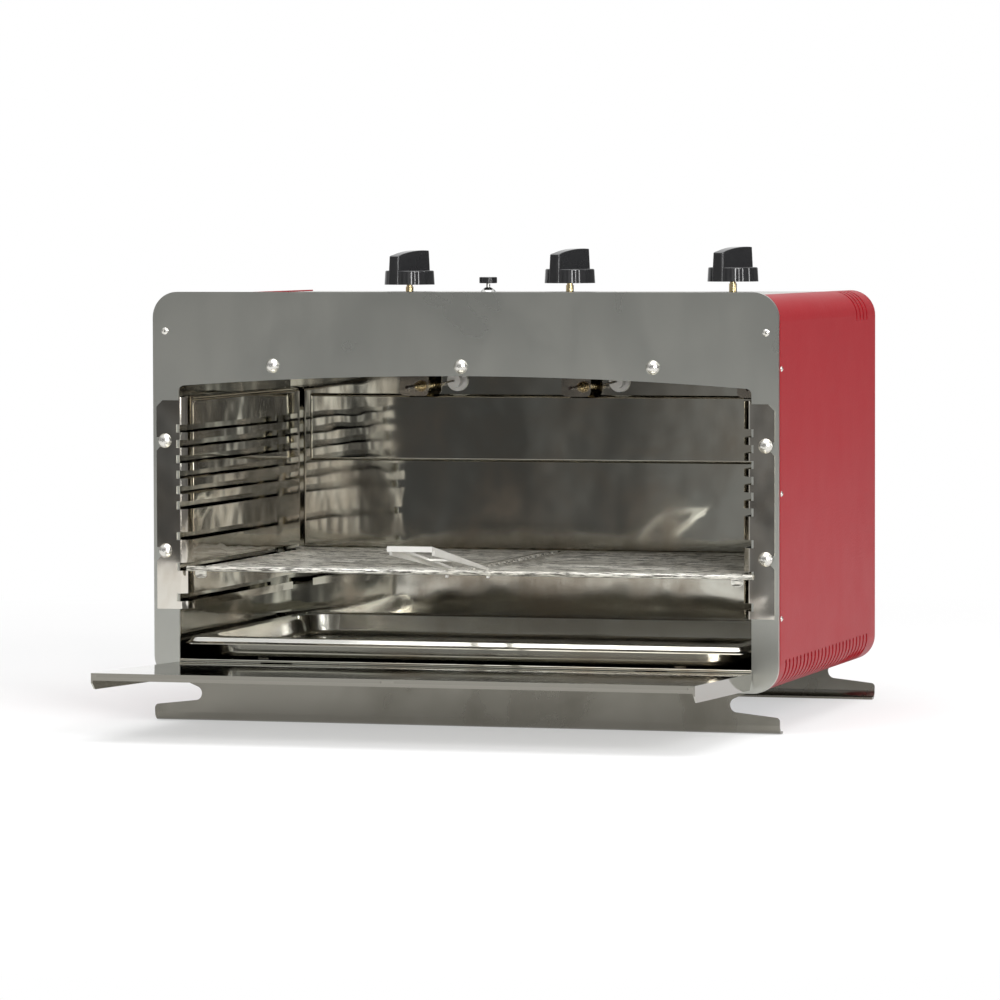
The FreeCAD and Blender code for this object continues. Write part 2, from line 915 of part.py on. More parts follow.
def floor_bearers():
    """Channels that carry the cavity floor above the bottom panel."""
    bearers = []
    half = bearer_width / 2
    end = half + bearer_flange
    y = frame_thickness + tongue_length + bearer_front_room
    length = cavity_rear - y - bearer_rear_room
    low = bottom_panel_top + cover_thickness / 2
    high = floor_under - cover_thickness / 2
    for x in bearer_places():
        path = [Vector(x - end, y, low), Vector(x - half, y, low),
                Vector(x - half, y, high), Vector(x + half, y, high),
                Vector(x + half, y, low), Vector(x + end, y, low)]
        bearers.append(folded_sheet(path, cover_thickness, bearer_bend, Vector(0, length, 0)))
    return group(bearers)


def hood_plate():
    """Level sheet over the cavity, with a front flange behind the frame."""
    middle = frame_thickness + cover_thickness / 2
    flange_low = arch_height(0) + hood_flange_gap
    outer = cavity_half + panel_thickness
    path = [Vector(-outer, middle, flange_low),
            Vector(-outer, middle, hood_top - cover_thickness / 2),
            Vector(-outer, cavity_rear + panel_thickness, hood_top - cover_thickness / 2)]
    sheet = folded_sheet(path, cover_thickness, hood_bend, Vector(2 * outer, 0, 0))
    ends = [box((s * (cavity_half - 1.0), s * (outer + 1)),
                (frame_thickness - 1, frame_thickness + hood_notch_depth),
                (flange_low - 1, hood_under))
            for s in (-1, 1)]
    holes = [Part.makeCylinder(dome_shank_radius + hole_clearance, hood_notch_depth,
                               place, Vector(0, 1, 0)) for place in top_screw_places()]
    return sheet.cut(ends + holes)


def heat_shield():
    """Shallow pan on the upper back wall, with its edges folded back to the wall."""
    low = shoulder - shield_drop
    front = cavity_rear - shield_stand_off
    side = opening_half - shield_side_room
    pan = box((-side, side), (front, cavity_rear), (low, low + shield_height))
    edges = [edge for edge in pan.Edges
             if edge.BoundBox.YMax < front + match and edge.Length > 1]
    pan = pan.makeFillet(shield_edge_radius, edges)
    inner = box((-side + panel_thickness, side - panel_thickness),
                (front + panel_thickness, cavity_rear + 1),
                (low + panel_thickness, low + shield_height - panel_thickness))
    return pan.cut(inner)


# Rail inserts
def rail_slot_levels():
    return [lowest_slot + step * slot_pitch for step in slot_levels]


def rail_insert_right():
    """Side panel with slots for the grates; its front flange lies on the frame."""
    t = rail_thickness
    wall = rail_inner + t / 2
    flange_end = opening_half + rail_flange_reach
    knee = opening_half - t - rail_knee_room
    jog = knee - wall
    plan = [Vector(flange_end, -t / 2, rail_bottom), Vector(knee, -t / 2, rail_bottom),
            Vector(wall, jog - t / 2, rail_bottom), Vector(wall, rail_length, rail_bottom)]
    bends = [0.0, rail_knee_bend, rail_jog_bend, 0.0]
    height = rail_top - rail_bottom
    panel = folded_sheet(plan, t, bends, Vector(0, 0, height))
    flange_top = rail_top - rail_flange_top_drop
    trims = [box((knee, flange_end + 1), (-t - 1, match), (flange_top, rail_top + 1))]
    corner = [Vector(flange_end - rail_flange_corner, -t - 1, flange_top + 1),
              Vector(flange_end + 1, -t - 1, flange_top - rail_flange_corner),
              Vector(flange_end + 1, -t - 1, flange_top + 1)]
    trims.append(plate(corner, Vector(0, t + 1, 0)))
    trims.append(box((wall - t, wall + t), (rail_length - rail_heel_length, rail_length + 1),
                     (rail_bottom - 1, rail_bottom + rail_heel_height)))
    for level in rail_slot_levels():
        low = level - slot_height / 2
        trims.append(box((wall - 2 * t, cavity_half), (-t - 1, rail_slot_end),
                         (low, low + slot_height)))
    half = hook_notch_width / 2
    for level in rail_screw_levels():
        trims.append(box((screw_line, flange_end + 1), (-t - 1, 1), (level - half, level + half)))
        trims.append(rod(Vector(screw_line, -t - 1, level), Vector(screw_line, 1, level), half))
        slope = [Vector(flange_end - hook_chamfer, -t - 1, level),
                 Vector(flange_end + 1, -t - 1, level),
                 Vector(flange_end + 1, -t - 1, level - half - hook_chamfer - 1),
                 Vector(flange_end - hook_chamfer, -t - 1, level - half)]
        trims.append(plate(slope, Vector(0, t + 2, 0)))
    panel = panel.cut(trims)
    lip_front = jog + rail_lip_start
    lip_low = rail_top - 2 * rail_lip_bend
    lip_path = [Vector(wall, lip_front, lip_low), Vector(wall, lip_front, rail_top - t / 2),
                Vector(opening_half - rail_lip_room, lip_front, rail_top - t / 2)]
    lip = folded_sheet(lip_path, t, rail_lip_bend, Vector(0, rail_length - lip_front, 0))
    top_strip = box((wall - t, wall + t), (lip_front, rail_length + 1), (lip_low, rail_top + 1))
    return joined([panel.cut(top_strip), lip])


# Front ledge
def ledge_height(y):
    """Height of the ledge's upper face, which climbs towards its front."""
    return sill - ledge_drop - y * ledge_slope


def front_ledge():
    t = ledge_thickness
    rear = -ledge_gap
    front = -ledge_reach
    width_rate = (ledge_rear_inset - ledge_front_inset) / ledge_reach
    half_rear = half_width - ledge_rear_inset + ledge_gap * width_rate
    half_front = half_width - ledge_front_inset
    plan = [Vector(-half_rear, rear, 0), Vector(half_rear, rear, 0),
            Vector(half_front, front, 0), Vector(-half_front, front, 0)]
    column = plate(plan, Vector(0, 0, cover_top), [0, 0, ledge_corner, ledge_corner])
    inner_plan = [Vector(-half_rear + t, rear + 1, 0), Vector(half_rear - t, rear + 1, 0),
                  Vector(half_front - t, front + t, 0), Vector(-half_front + t, front + t, 0)]
    inner_corner = ledge_corner - t
    inner = plate(inner_plan, Vector(0, 0, cover_top), [0, 0, inner_corner, inner_corner])
    side_x = Vector(2 * half_front + 2, 0, 0)
    x = -half_front - 1
    top_band = [Vector(x, rear + 1, ledge_height(rear + 1)),
                Vector(x, front - 1, ledge_height(front - 1)),
                Vector(x, front - 1, ledge_height(front - 1) - t),
                Vector(x, rear + 1, ledge_height(rear + 1) - t)]
    table = column.common(plate(top_band, side_x))
    skirt_front = front + ledge_skirt_setback
    skirt_rear = rear - ledge_skirt_setback
    skirt = [Vector(x, rear, ledge_height(rear) - ledge_blend),
             Vector(x, front, ledge_height(front) - ledge_blend),
             Vector(x, front + ledge_skirt_lean, ledge_height(front) - ledge_skirt_share * ledge_skirt),
             Vector(x, skirt_front, ledge_height(skirt_front) - ledge_skirt),
             Vector(x, skirt_rear, ledge_height(skirt_rear) - ledge_skirt),
             Vector(x, rear, ledge_height(rear) - ledge_skirt + ledge_skirt_setback)]
    round_ends = [0, 0, ledge_skirt_corner, ledge_skirt_corner, 0, 0]
    skirts = column.cut(inner).common(plate(skirt, side_x, round_ends))
    hem_low = ledge_height(front) - ledge_hem
    hem_end = half_front - ledge_hem_inset
    return_end = half_front - ledge_hem_return_inset
    hem_block = box((-hem_end, hem_end), (front, front + t),
                    (hem_low, ledge_height(front) - ledge_blend))
    hem_return = box((-return_end, return_end), (front, front + ledge_hem_return),
                     (hem_low, hem_low + t))
    middle_notch = box((-ledge_notch_width / 2, ledge_notch_width / 2),
                       (front - 1, front + ledge_hem_return + 1),
                       (hem_low - 1, hem_low + ledge_notch_height))
    hem = hem_block.common(column).fuse(hem_return).cut(middle_notch)
    tongues = []
    for place in tongue_places():
        high = ledge_height(0) - t
        low = high - tongue_thickness
        back = tongue_length
        fore = -tongue_overlap
        x = place - tongue_width / 2
        points = [Vector(x, back, high - back * ledge_slope),
                  Vector(x, fore, high - fore * ledge_slope),
                  Vector(x, fore, low - fore * ledge_slope),
                  Vector(x, back, low - back * ledge_slope)]
        tongues.append(plate(points, Vector(tongue_width, 0, 0)))
    return joined([table, skirts, hem] + tongues)


# Drip tray
def tray_shell(inset):
    """Bowl of the tray as a tapered block with rounded corners, shrunk by an inset."""
    rim_half_x = tray_width / 2 - tray_rim - inset
    rim_half_y = tray_depth / 2 - tray_rim - inset
    centre_y = tray_front + tray_depth / 2
    levels = ((tray_top + (1 if inset else 0), 0.0), (tray_bottom + inset, tray_wall_lean))
    wires = []
    for level, lean in levels:
        half_x = rim_half_x - lean
        half_y = rim_half_y - lean
        corners = [Vector(-half_x, centre_y - half_y, level), Vector(half_x, centre_y - half_y, level),
                   Vector(half_x, centre_y + half_y, level), Vector(-half_x, centre_y + half_y, level)]
        radius = tray_inner_corner - lean - inset
        wires.append(Part.Wire(Part.sortEdges(rounded_run(corners, [radius] * 4, True))[0]))
    bowl = Part.makeLoft(wires, True, True)
    floor_edges = [edge for edge in bowl.Edges
                   if edge.BoundBox.ZMax < tray_bottom + inset + match]
    return bowl.makeFillet(tray_floor_radius - inset, floor_edges)


def tray_border(grow, z):
    """Edges of the tray's outline at a height, from the middle of its front."""
    half_x = tray_width / 2 + grow
    half_y = tray_depth / 2 + grow
    centre_y = tray_front + tray_depth / 2
    corners = [Vector(0, centre_y - half_y, z),
               Vector(half_x, centre_y - half_y, z), Vector(half_x, centre_y + half_y, z),
               Vector(-half_x, centre_y + half_y, z), Vector(-half_x, centre_y - half_y, z)]
    return rounded_run(corners, [0.0] + [tray_rim_corner + grow] * 4, True)


def tray_flange():
    edges = tray_border(-tray_crest_radius - tray_thickness, tray_top - tray_thickness)
    return Part.Face(Part.Wire(edges)).extrude(Vector(0, 0, tray_thickness))


def tray_rim_band():
    """Edge of the rim: over the crest, down the face and out along the curled lip."""
    t = tray_thickness
    crest = tray_top - t / 2
    overlap = 2 * tray_crest_radius + t
    section = [Vector(0, tray_front + overlap, crest),
               Vector(0, tray_front + t / 2, crest),
               Vector(0, tray_front - tray_face_flare, tray_top - tray_skirt + tray_face_rise),
               Vector(0, tray_front - tray_flare, tray_top - tray_skirt + t / 2)]
    bends = [0.0, tray_crest_radius, tray_lip_radius, 0.0]
    outline = sheet_outline(section, t, bends, Vector(1, 0, 0))
    spine = Part.Wire(tray_border(0.0, crest))
    return spine.makePipeShell([outline], True, False)


def drip_tray():
    outer = tray_shell(0.0)
    inner = tray_shell(tray_thickness)
    return joined([tray_flange(), tray_rim_band(), outer]).cut(inner)


# Grates
def grate_bar_rows():
    return (bar_y, grate_front + grate_depth - grate_bar_radius)


def grate_strip_places():
    half = grate_strip_spacing / 2
    return (grate_shift - half, grate_shift + plate_play, grate_shift + half)


def grate_bar_half():
    return rail_inner + grate_bar_engagement


def grate_frame():
    """Two round bars that run in the rail slots, joined by flat strips under the plates."""
    front, rear = grate_bar_rows()
    half = grate_bar_half()
    pieces = [rod(Vector(grate_shift - half, y, grate_axis), Vector(grate_shift + half, y, grate_axis),
                  grate_bar_radius) for y in (front, rear)]
    for x in grate_strip_places():
        pieces.append(box((x - grate_strip_width / 2, x + grate_strip_width / 2),
                          (front, rear), (plate_bottom - grate_strip_thickness, plate_bottom)))
    for s in (-1, 1):
        pieces.append(grate_tab(grate_shift + s * grate_strip_spacing / 2))
    return joined(pieces)


def grate_tab(x):
    """Lug in front of the bar that hangs down and leans back below its bend."""
    half = grate_strip_width / 2
    middle = grate_front + grate_tab_thickness / 2
    path = [Vector(x - half, middle, grate_top), Vector(x - half, middle, grate_top - grate_tab_bend),
            Vector(x - half, middle + grate_tab_lean, grate_top - grate_tab_drop)]
    lug = folded_sheet(path, grate_tab_thickness, 1.0, Vector(2 * half, 0, 0))
    y = grate_front - 1
    low = grate_top - grate_tab_drop - grate_tab_end_room
    corners = [Vector(x - half, y, grate_top), Vector(x + half, y, grate_top),
               Vector(x + half, y, low), Vector(x - half, y, low)]
    outline = plate(corners, Vector(0, grate_tab_span, 0), [0, 0, grate_tab_corner, grate_tab_corner])
    return lug.common(outline)


def grate_plate(left):
    """Slotted plate with a toothed edge at each side, between its left edge and its width."""
    right = left + plate_width
    front, rear = grate_bar_rows()
    near = front + grate_bar_radius + plate_gap
    far = rear - grate_bar_radius - plate_gap
    cutters = []
    y = near + plate_rim
    while y + plate_slot_width < far - plate_rim / 2:
        gap_y = (y, y + plate_slot_width)
        for x in ((left + plate_side_web, right - plate_side_web),
                  (left - 1, left + plate_tooth), (right - plate_tooth, right + 1)):
            cutters.append(box(x, gap_y, (plate_bottom - 1, grate_top + 1)))
        y += plate_slot_pitch
    notch = (handle_shift - plate_notch_width / 2 - hook_thickness,
             handle_shift + plate_notch_width / 2 + hook_thickness)
    cutters.append(box(notch, (near - 1, near + plate_notch_depth), (plate_bottom - 1, grate_top + 1)))
    return box((left, right), (near, far), (plate_bottom, grate_top)).cut(cutters)


def grate_plate_left():
    return grate_plate(grate_shift + plate_play - plate_seam / 2 - plate_width)


def grate_plate_right():
    return grate_plate(grate_shift + plate_play + plate_seam / 2)


def grate_handle():
    """Lifter with two arms whose hooks go over the front bar and behind it."""
    t = handle_thickness
    half = handle_width / 2
    reach = grate_bar_radius + hook_gap
    outer = reach + hook_wrap
    rear = bar_y - outer + hook_bite
    far = bar_y - handle_length
    low = grate_axis + reach
    pieces = []
    for s in (-1, 1):
        x = handle_shift + s * half
        pieces.append(box((x - s * handle_arm, x), (far, rear), (low, low + t)))
        side = min(x, x - s * hook_thickness)
        near = far + handle_side_start
        corners = [Vector(side, near, low + t), Vector(side, rear, low + t),
                   Vector(side, rear, low - handle_side_end),
                   Vector(side, near, low - handle_side_height)]
        pieces.append(plate(corners, Vector(hook_thickness, 0, 0)))
    grip = box((handle_shift - half, handle_shift + half), (far, far + handle_grip), (low, low + t))
    lip = box((handle_shift - half, handle_shift + half), (far, far + t),
              (low - handle_lip_height, low + t))
    cross = rear - handle_bar_place
    bar = box((handle_shift - half, handle_shift + half), (cross - handle_bar, cross), (low, low + t))
    frame = joined(pieces + [grip, lip, bar])
    frame.rotate(Vector(0, bar_y, grate_axis), Vector(1, 0, 0), -handle_tilt)
    hooks = []
    for s in (-1, 1):
        x = handle_shift + s * half - (hook_thickness if s > 0 else 0)
        start = Vector(x, bar_y, grate_axis)
        end = start + Vector(hook_thickness, 0, 0)
        ring = rod(start, end, outer).cut(rod(start, end, reach))
        mouth = box((x - 1, x + hook_thickness + 1), (bar_y - outer - 1, bar_y - hook_bite),
                    (grate_axis - outer - 1, grate_axis + hook_mouth_rise))
        hooks.append(ring.cut(mouth))
    return joined([frame] + hooks)


# Burners
def burner_housing(x):
    half = burner_width / 2
    outer = box((x - half, x + half), (burner_front, burner_rear), (burner_bottom, hood_under))
    inner = box((x - half + burner_wall, x + half - burner_wall),
                (burner_front + burner_wall, burner_rear - burner_wall),
                (burner_bottom + burner_wall, hood_under - burner_wall))
    mouth = box((x - half + burner_lip, x + half - burner_lip),
                (burner_front + burner_lip, burner_rear - burner_lip),
                (burner_bottom - 1, burner_bottom + burner_wall + 1))
    port = rod(Vector(x, burner_rear - 2, gas_line_height), Vector(x, burner_rear + 2, gas_line_height),
               mixing_tube_bore)
    return outer.cut([inner, mouth, port])


def burner_plaque(x):
    """Ceramic plate that glows, held behind the lip of its housing."""
    half = burner_width / 2 - burner_wall - fit_gap
    return box((x - half, x + half),
               (burner_front + burner_wall + fit_gap, burner_rear - burner_wall - fit_gap),
               (burner_bottom + burner_wall, burner_bottom + burner_wall + plaque_thickness))


def mixing_tube(x):
    start = Vector(x, burner_rear, gas_line_height)
    end = start + Vector(0, mixing_tube_length, 0)
    wall = mixing_tube_radius - mixing_tube_bore
    tube = rod(start, end, mixing_tube_radius)
    mouth = Part.makeCone(mixing_tube_radius, mixing_mouth_radius, mixing_mouth_length, end,
                          Vector(0, 1, 0))
    bore = rod(start - Vector(0, 1, 0), end, mixing_tube_bore)
    flare = Part.makeCone(mixing_tube_bore, mixing_mouth_radius - wall, mixing_mouth_length + match,
                          end, Vector(0, 1, 0))
    return joined([tube, mouth]).cut([bore, flare])


# Gas line
def gas_manifold():
    half = manifold_size / 2
    left = burner_places()[0] - manifold_end
    right = burner_places()[-1] + manifold_end
    outer = box((left, right), (valve_row - half, valve_row + half),
                (valve_base - manifold_size, valve_base))
    inner = half - manifold_wall
    bore = box((left + manifold_wall, right - manifold_wall),
               (valve_row - inner, valve_row + inner),
               (valve_base - manifold_size + manifold_wall, valve_base - manifold_wall))
    ports = [rod(Vector(x, valve_row, valve_base - 2 * manifold_wall),
                 Vector(x, valve_row, valve_base + 1), push_pin_radius + 1.0)
             for x in burner_places()]
    inlet = rod(Vector(inlet_place, valve_row, inlet_level()),
                Vector(inlet_place, valve_row + manifold_size, inlet_level()),
                inlet_radius - inlet_wall)
    return outer.cut([bore, inlet] + ports)


def manifold_brackets():
    """Two angles that carry the manifold on the cavity's back wall."""
    brackets = []
    t = bracket_thickness
    low = valve_base - manifold_size - t / 2
    rear = cavity_rear + panel_thickness
    inward = sensor_offset + electrode_spacing / 2
    for place in (burner_places()[0] + inward, burner_places()[-1] - inward):
        x = place - bracket_width / 2
        path = [Vector(x, rear + t / 2, low - bracket_drop), Vector(x, rear + t / 2, low),
                Vector(x, valve_row + manifold_size / 2, low)]
        brackets.append(folded_sheet(path, t, bracket_bend, Vector(bracket_width, 0, 0)))
    return group(brackets)


def inlet_level():
    return valve_base - manifold_size / 2


def gas_inlet():
    """Brass fitting from the manifold through the rear cover, with the hose thread."""
    start = Vector(inlet_place, valve_row + manifold_size / 2, inlet_level())
    back = Vector(0, 1, 0)
    collar_face = Vector(inlet_place, inlet_face, inlet_level())
    stem = rod(start, collar_face, inlet_radius)
    nut = plate(hexagon(collar_face, inlet_hex_size), back * inlet_hex_length)
    nut_face = collar_face + back * inlet_hex_length
    thread = rod(nut_face, nut_face + back * inlet_thread_length, inlet_thread_radius)
    bore = rod(start - back, nut_face + back * (inlet_thread_length + 1), inlet_radius - inlet_wall)
    return joined([stem, nut, thread]).cut(bore)


def valve_body(x):
    half_x = valve_width / 2
    half_y = valve_depth / 2
    block = box((x - half_x, x + half_x), (valve_row - half_y, valve_row + half_y),
                (valve_base, valve_top))
    upright = [edge for edge in block.Edges if abs(edge.BoundBox.ZLength - valve_height) < match]
    block = block.makeFillet(valve_corner, upright)
    half = bonnet_size / 2
    bonnet = box((x - half, x + half), (valve_row - half, valve_row + half),
                 (valve_top, valve_top + bonnet_thickness))
    axis = Vector(x, valve_row, 0)
    up = Vector(0, 0, 1)
    neck = rod(axis + up * valve_top, axis + up * bonnet_top, bonnet_neck_radius)
    chamber_floor = valve_base + valve_chamber_floor
    chamber = rod(axis + up * chamber_floor, axis + up * valve_top, valve_chamber_radius)
    neck_bore = rod(axis + up * valve_top, axis + up * (bonnet_top + 1),
                    spindle_radius + spindle_clearance)
    guide = rod(axis + up * (valve_base + valve_floor), axis + up * chamber_floor,
                push_pin_radius + spindle_clearance)
    body = joined([block, bonnet, neck])
    return body.cut([chamber, neck_bore, guide])


def injectors():
    """Brass jets that screw into the valves and point into the mixing tubes."""
    jets = []
    face = valve_row - valve_depth / 2
    for x in burner_places():
        root = Vector(x, face, gas_line_height)
        forward = Vector(0, -1, 0)
        hex_length = injector_length * injector_hex_share
        head = plate(hexagon(root, 2 * injector_radius), forward * hex_length)
        nozzle = rod(root + forward * hex_length, root + forward * injector_length,
                     injector_nozzle_radius)
        bore = rod(root + forward * -1, root + forward * (injector_length + 1),
                   injector_bore_radius)
        jets.append(joined([head, nozzle]).cut(bore))
    return group(jets)


def valve_push_rod(x):
    """Pin that the pressed spindle pushes down inside the valve."""
    axis = Vector(x, valve_row, 0)
    up = Vector(0, 0, 1)
    head_top = spindle_foot() - fit_gap
    head = rod(axis + up * (head_top - push_head_height), axis + up * head_top, push_head_radius)
    pin = rod(axis + up * (head_top - push_head_height - push_pin_length),
              axis + up * (head_top - push_head_height), push_pin_radius)
    return joined([head, pin])


def valve_springs():
    """Return springs round the push rods, as plain sleeves of the same size."""
    springs = []
    low = valve_base + valve_chamber_floor
    high = spindle_foot() - fit_gap - push_head_height
    inner = push_pin_radius + spring_clearance
    for x in burner_places():
        start = Vector(x, valve_row, low)
        end = Vector(x, valve_row, high)
        springs.append(rod(start, end, inner + spring_wall).cut(rod(start, end, inner)))
    return group(springs)


def spindle_foot():
    return valve_top - 1.0 - spindle_collar_height


def knob_floor(x):
    """Height of a knob's lower edge: each knob sits a little higher than the one on its left."""
    return top_sheet_top + knob_gap + knob_row_climb * (x - burner_shift) / burner_pitch


def valve_spindle(x):
    axis = Vector(x, valve_row, 0)
    up = Vector(0, 0, 1)
    collar = rod(axis + up * spindle_foot(), axis + up * (spindle_foot() + spindle_collar_height),
                 spindle_collar_radius)
    step = knob_floor(x) - spindle_step_drop
    shaft = rod(axis + up * spindle_foot(), axis + up * step, spindle_radius)
    tip = rod(axis + up * step, axis + up * (knob_floor(x) + spindle_engagement),
              spindle_flat_radius)
    tip = tip.cut(spindle_flat_block(x, step, spindle_flat))
    return joined([collar, shaft, tip])


def spindle_flat_block(x, low, flat):
    """Space beyond the flat of the spindle's D section, turned with the knob."""
    block = box((x - 2 * spindle_radius, x + 2 * spindle_radius),
                (valve_row + flat, valve_row + 2 * spindle_radius),
                (low, knob_floor(x) + spindle_engagement + 1))
    block.rotate(Vector(x, valve_row, 0), Vector(0, 0, 1), -knob_turn)
    return block


def knob_top(y):
    """Height of the grip's arched top edge over the knob's lower edge, by distance from its axis."""
    run = knob_nose_reach + knob_crown_place
    arch = (run ** 2 + knob_low_end ** 2) / (2 * knob_low_end)
    return knob_height - arch + math.sqrt(arch ** 2 - (y - knob_crown_place) ** 2)


def knob_plan(level, draft):
    """Closed outline of the grip at a height, drawn in by its draft."""
    front = draft - knob_nose_reach
    back = knob_tail_reach - draft
    nose = (knob_nose_width - draft) / 2
    waist = nose - knob_nose_step
    tail = (knob_tail_width - draft) / 2
    neck = front + knob_nose_length
    corners = [(-nose, front), (nose, front), (nose, neck), (waist, neck + knob_nose_step),
               (tail, back), (-tail, back), (-waist, neck + knob_nose_step), (-nose, neck)]
    radii = [knob_nose_radius, knob_nose_radius, 0, 0, knob_tail_radius, knob_tail_radius, 0, 0]
    edges = rounded_run([Vector(x, y, level) for x, y in corners], radii, True)
    return Part.Wire(Part.sortEdges(edges)[0])


def knob_grip():
    """Grip about the Z axis, with its pointed end towards -Y and down to the knob's lower edge."""
    outlines = [knob_plan(0.0, 0.0), knob_plan(knob_height + 1, knob_draft)]
    column = Part.makeLoft(outlines, True, True)
    side = -knob_tail_width
    near = -knob_nose_reach - 1
    far = knob_tail_reach + 1
    start = Vector(side, near, knob_top(near))
    end = Vector(side, far, knob_top(far))
    profile = [
        Part.Arc(start, Vector(side, 0, knob_top(0)), end).toShape(),
        Part.LineSegment(end, Vector(side, far, -1)).toShape(),
        Part.LineSegment(Vector(side, far, -1), Vector(side, near, -1)).toShape(),
        Part.LineSegment(Vector(side, near, -1), start).toShape(),
    ]
    arched = Part.Face(Part.Wire(profile)).extrude(Vector(2 * knob_tail_width, 0, 0))
    grip = column.common(arched)
    roof = [face for face in grip.Faces if face.BoundBox.ZMin > knob_skirt_height][0]
    return grip.makeFillet(knob_grip_edge, roof.Edges)


def knob(x):
    axis = Vector(x, valve_row, 0)
    up = Vector(0, 0, 1)
    floor = axis + up * knob_floor(x)
    skirt = Part.makeCone(knob_radius, knob_radius - knob_taper, knob_skirt_height, floor, up)
    top_edges = [edge for edge in skirt.Edges
                 if edge.BoundBox.ZMin > floor.z + knob_skirt_height - match]
    skirt = skirt.makeFillet(knob_edge_radius, top_edges)
    grip = knob_grip()
    grip.translate(floor)
    grip.rotate(axis, up, -knob_turn)
    hollow = rod(floor - up, floor + up * knob_hollow, knob_radius - knob_wall)
    hub = rod(floor, floor + up * (knob_hollow + 1), spindle_flat_radius + knob_wall)
    bore = rod(floor - up, floor + up * (spindle_engagement + spindle_end_room),
               spindle_flat_radius + button_clearance)
    bore = bore.cut(spindle_flat_block(x, floor.z - 2, spindle_flat + button_clearance))
    return joined([joined([skirt, grip]).cut(hollow), hub]).cut(bore)


# Igniter
def igniter_axis(level):
    return Vector(burner_shift - burner_pitch / 2 - igniter_offset, valve_row, level)


def igniter_body():
    """Piezo cell under the top cover, with the bore that the button slides in."""
    cell = rod(igniter_axis(top_sheet_under - igniter_body_length), igniter_axis(top_sheet_under),
               igniter_body_radius)
    bore = rod(igniter_axis(top_sheet_under - button_stem_depth - button_lift - 2.0),
               igniter_axis(top_sheet_under + 1), button_neck_radius + button_clearance)
    return cell.cut(bore)


def igniter_spring():
    """Return spring under the button's stem, as a plain sleeve of the same size."""
    high = igniter_axis(top_sheet_under - button_stem_depth)
    low = igniter_axis(top_sheet_under - button_stem_depth - button_lift - 2.0)
    outer = button_neck_radius - spring_clearance
    return rod(low, high, outer).cut(rod(low, high, outer - spring_wall))


def igniter_bezel():
    height = bezel_height
    ball = (bezel_radius ** 2 + height ** 2) / (2 * height)
    low = math.degrees(math.asin((ball - height) / ball))
    dome = Part.makeSphere(ball, igniter_axis(top_sheet_top + height - ball), Vector(0, 0, 1),
                           low, 90, 360)
    bore = rod(igniter_axis(top_sheet_top - 1), igniter_axis(top_sheet_top + height + 1),
               button_neck_radius + button_clearance)
    return dome.cut(bore)


def igniter_button():
    cap_low = top_sheet_top + bezel_height + button_lift
    cap = rod(igniter_axis(cap_low), igniter_axis(cap_low + button_height), button_radius)
    rims = [edge for edge in cap.Edges if edge.Length > 1 and edge.BoundBox.ZLength < match]
    cap = cap.makeFillet(button_edge_radius, rims)
    stem = rod(igniter_axis(top_sheet_under - button_stem_depth), igniter_axis(cap_low + 1),
               button_neck_radius)
    return joined([cap, stem])


# Flame sensors and electrodes
def sensor_places():
    """One beside each burner's middle; the last one sits further to the right."""
    places = [x + sensor_offset for x in burner_places()]
    places[-1] += last_sensor_shift
    return places


def electrode_places():
    return [x + electrode_spacing for x in sensor_places()]


def sensor_brackets():
    plates = []
    low = burner_bottom - sensor_bracket_drop
    for x in sensor_places():
        left = x - sensor_bracket_width / 2 - sensor_bracket_shift
        right = left + sensor_bracket_width
        corners = [Vector(left, burner_rear, low), Vector(right, burner_rear, low),
                   Vector(right, burner_rear, low + sensor_bracket_height),
                   Vector(left, burner_rear, low + sensor_bracket_height)]
        round_ends = [sensor_bracket_corner, sensor_bracket_corner, 0, 0]
        sheet = plate(corners, Vector(0, sensor_bracket_thickness, 0), round_ends)
        hole = rod(Vector(x, burner_rear - 1, sensor_level),
                   Vector(x, burner_rear + sensor_bracket_thickness + 1, sensor_level),
                   sensor_sleeve_radius + hole_clearance)
        plates.append(sheet.cut(hole))
    return group(plates)


def thermocouples():
    sensors = []
    back = Vector(0, 1, 0)
    for x in sensor_places():
        seat = Vector(x, burner_rear, sensor_level)
        cone_start = seat - back * (sensor_cone_length + sensor_nut_length)
        tip = rod(cone_start - back * sensor_tip_length, cone_start, sensor_tip_radius)
        cone = Part.makeCone(sensor_tip_radius, sensor_cone_radius, sensor_cone_length, cone_start,
                             back)
        nut = rod(seat - back * sensor_nut_length, seat, sensor_cone_radius)
        tail_end = Vector(seat.x, cavity_rear + panel_thickness + wall_tail, seat.z)
        sleeve = rod(seat, tail_end, sensor_sleeve_radius)
        sensors.append(joined([tip, cone, nut, sleeve]))
    return group(sensors)


def electrode_ceramics():
    insulators = []
    for middle in electrode_places():
        front = Vector(middle, cavity_rear - electrode_reach, electrode_level)
        rear = Vector(middle, cavity_rear + panel_thickness + wall_tail, electrode_level)
        stem = rod(front, rear, electrode_radius)
        collar = rod(Vector(middle, cavity_rear - electrode_collar_length, electrode_level),
                     Vector(middle, cavity_rear, electrode_level), electrode_collar_radius)
        bore = rod(front - Vector(0, 1, 0), rear + Vector(0, 1, 0), wire_radius + button_clearance)
        insulators.append(joined([stem, collar]).cut(bore))
    return group(insulators)


def electrode_wires():
    wires = []
    for middle in electrode_places():
        rear = Vector(middle, cavity_rear + panel_thickness + wall_tail + wire_length, electrode_level)
        bend_at = Vector(middle, cavity_rear - electrode_reach - wire_length, electrode_level)
        end = bend_at + Vector(-wire_arm, -wire_reach, -wire_dip)
        path = rounded_run([rear, bend_at, end], [0, wire_bend, 0], False)
        spine = Part.Wire(path)
        circle = Part.Wire([Part.makeCircle(wire_radius, rear, Vector(0, 1, 0))])
        wires.append(spine.makePipeShell([circle], True, False))
    return group(wires)


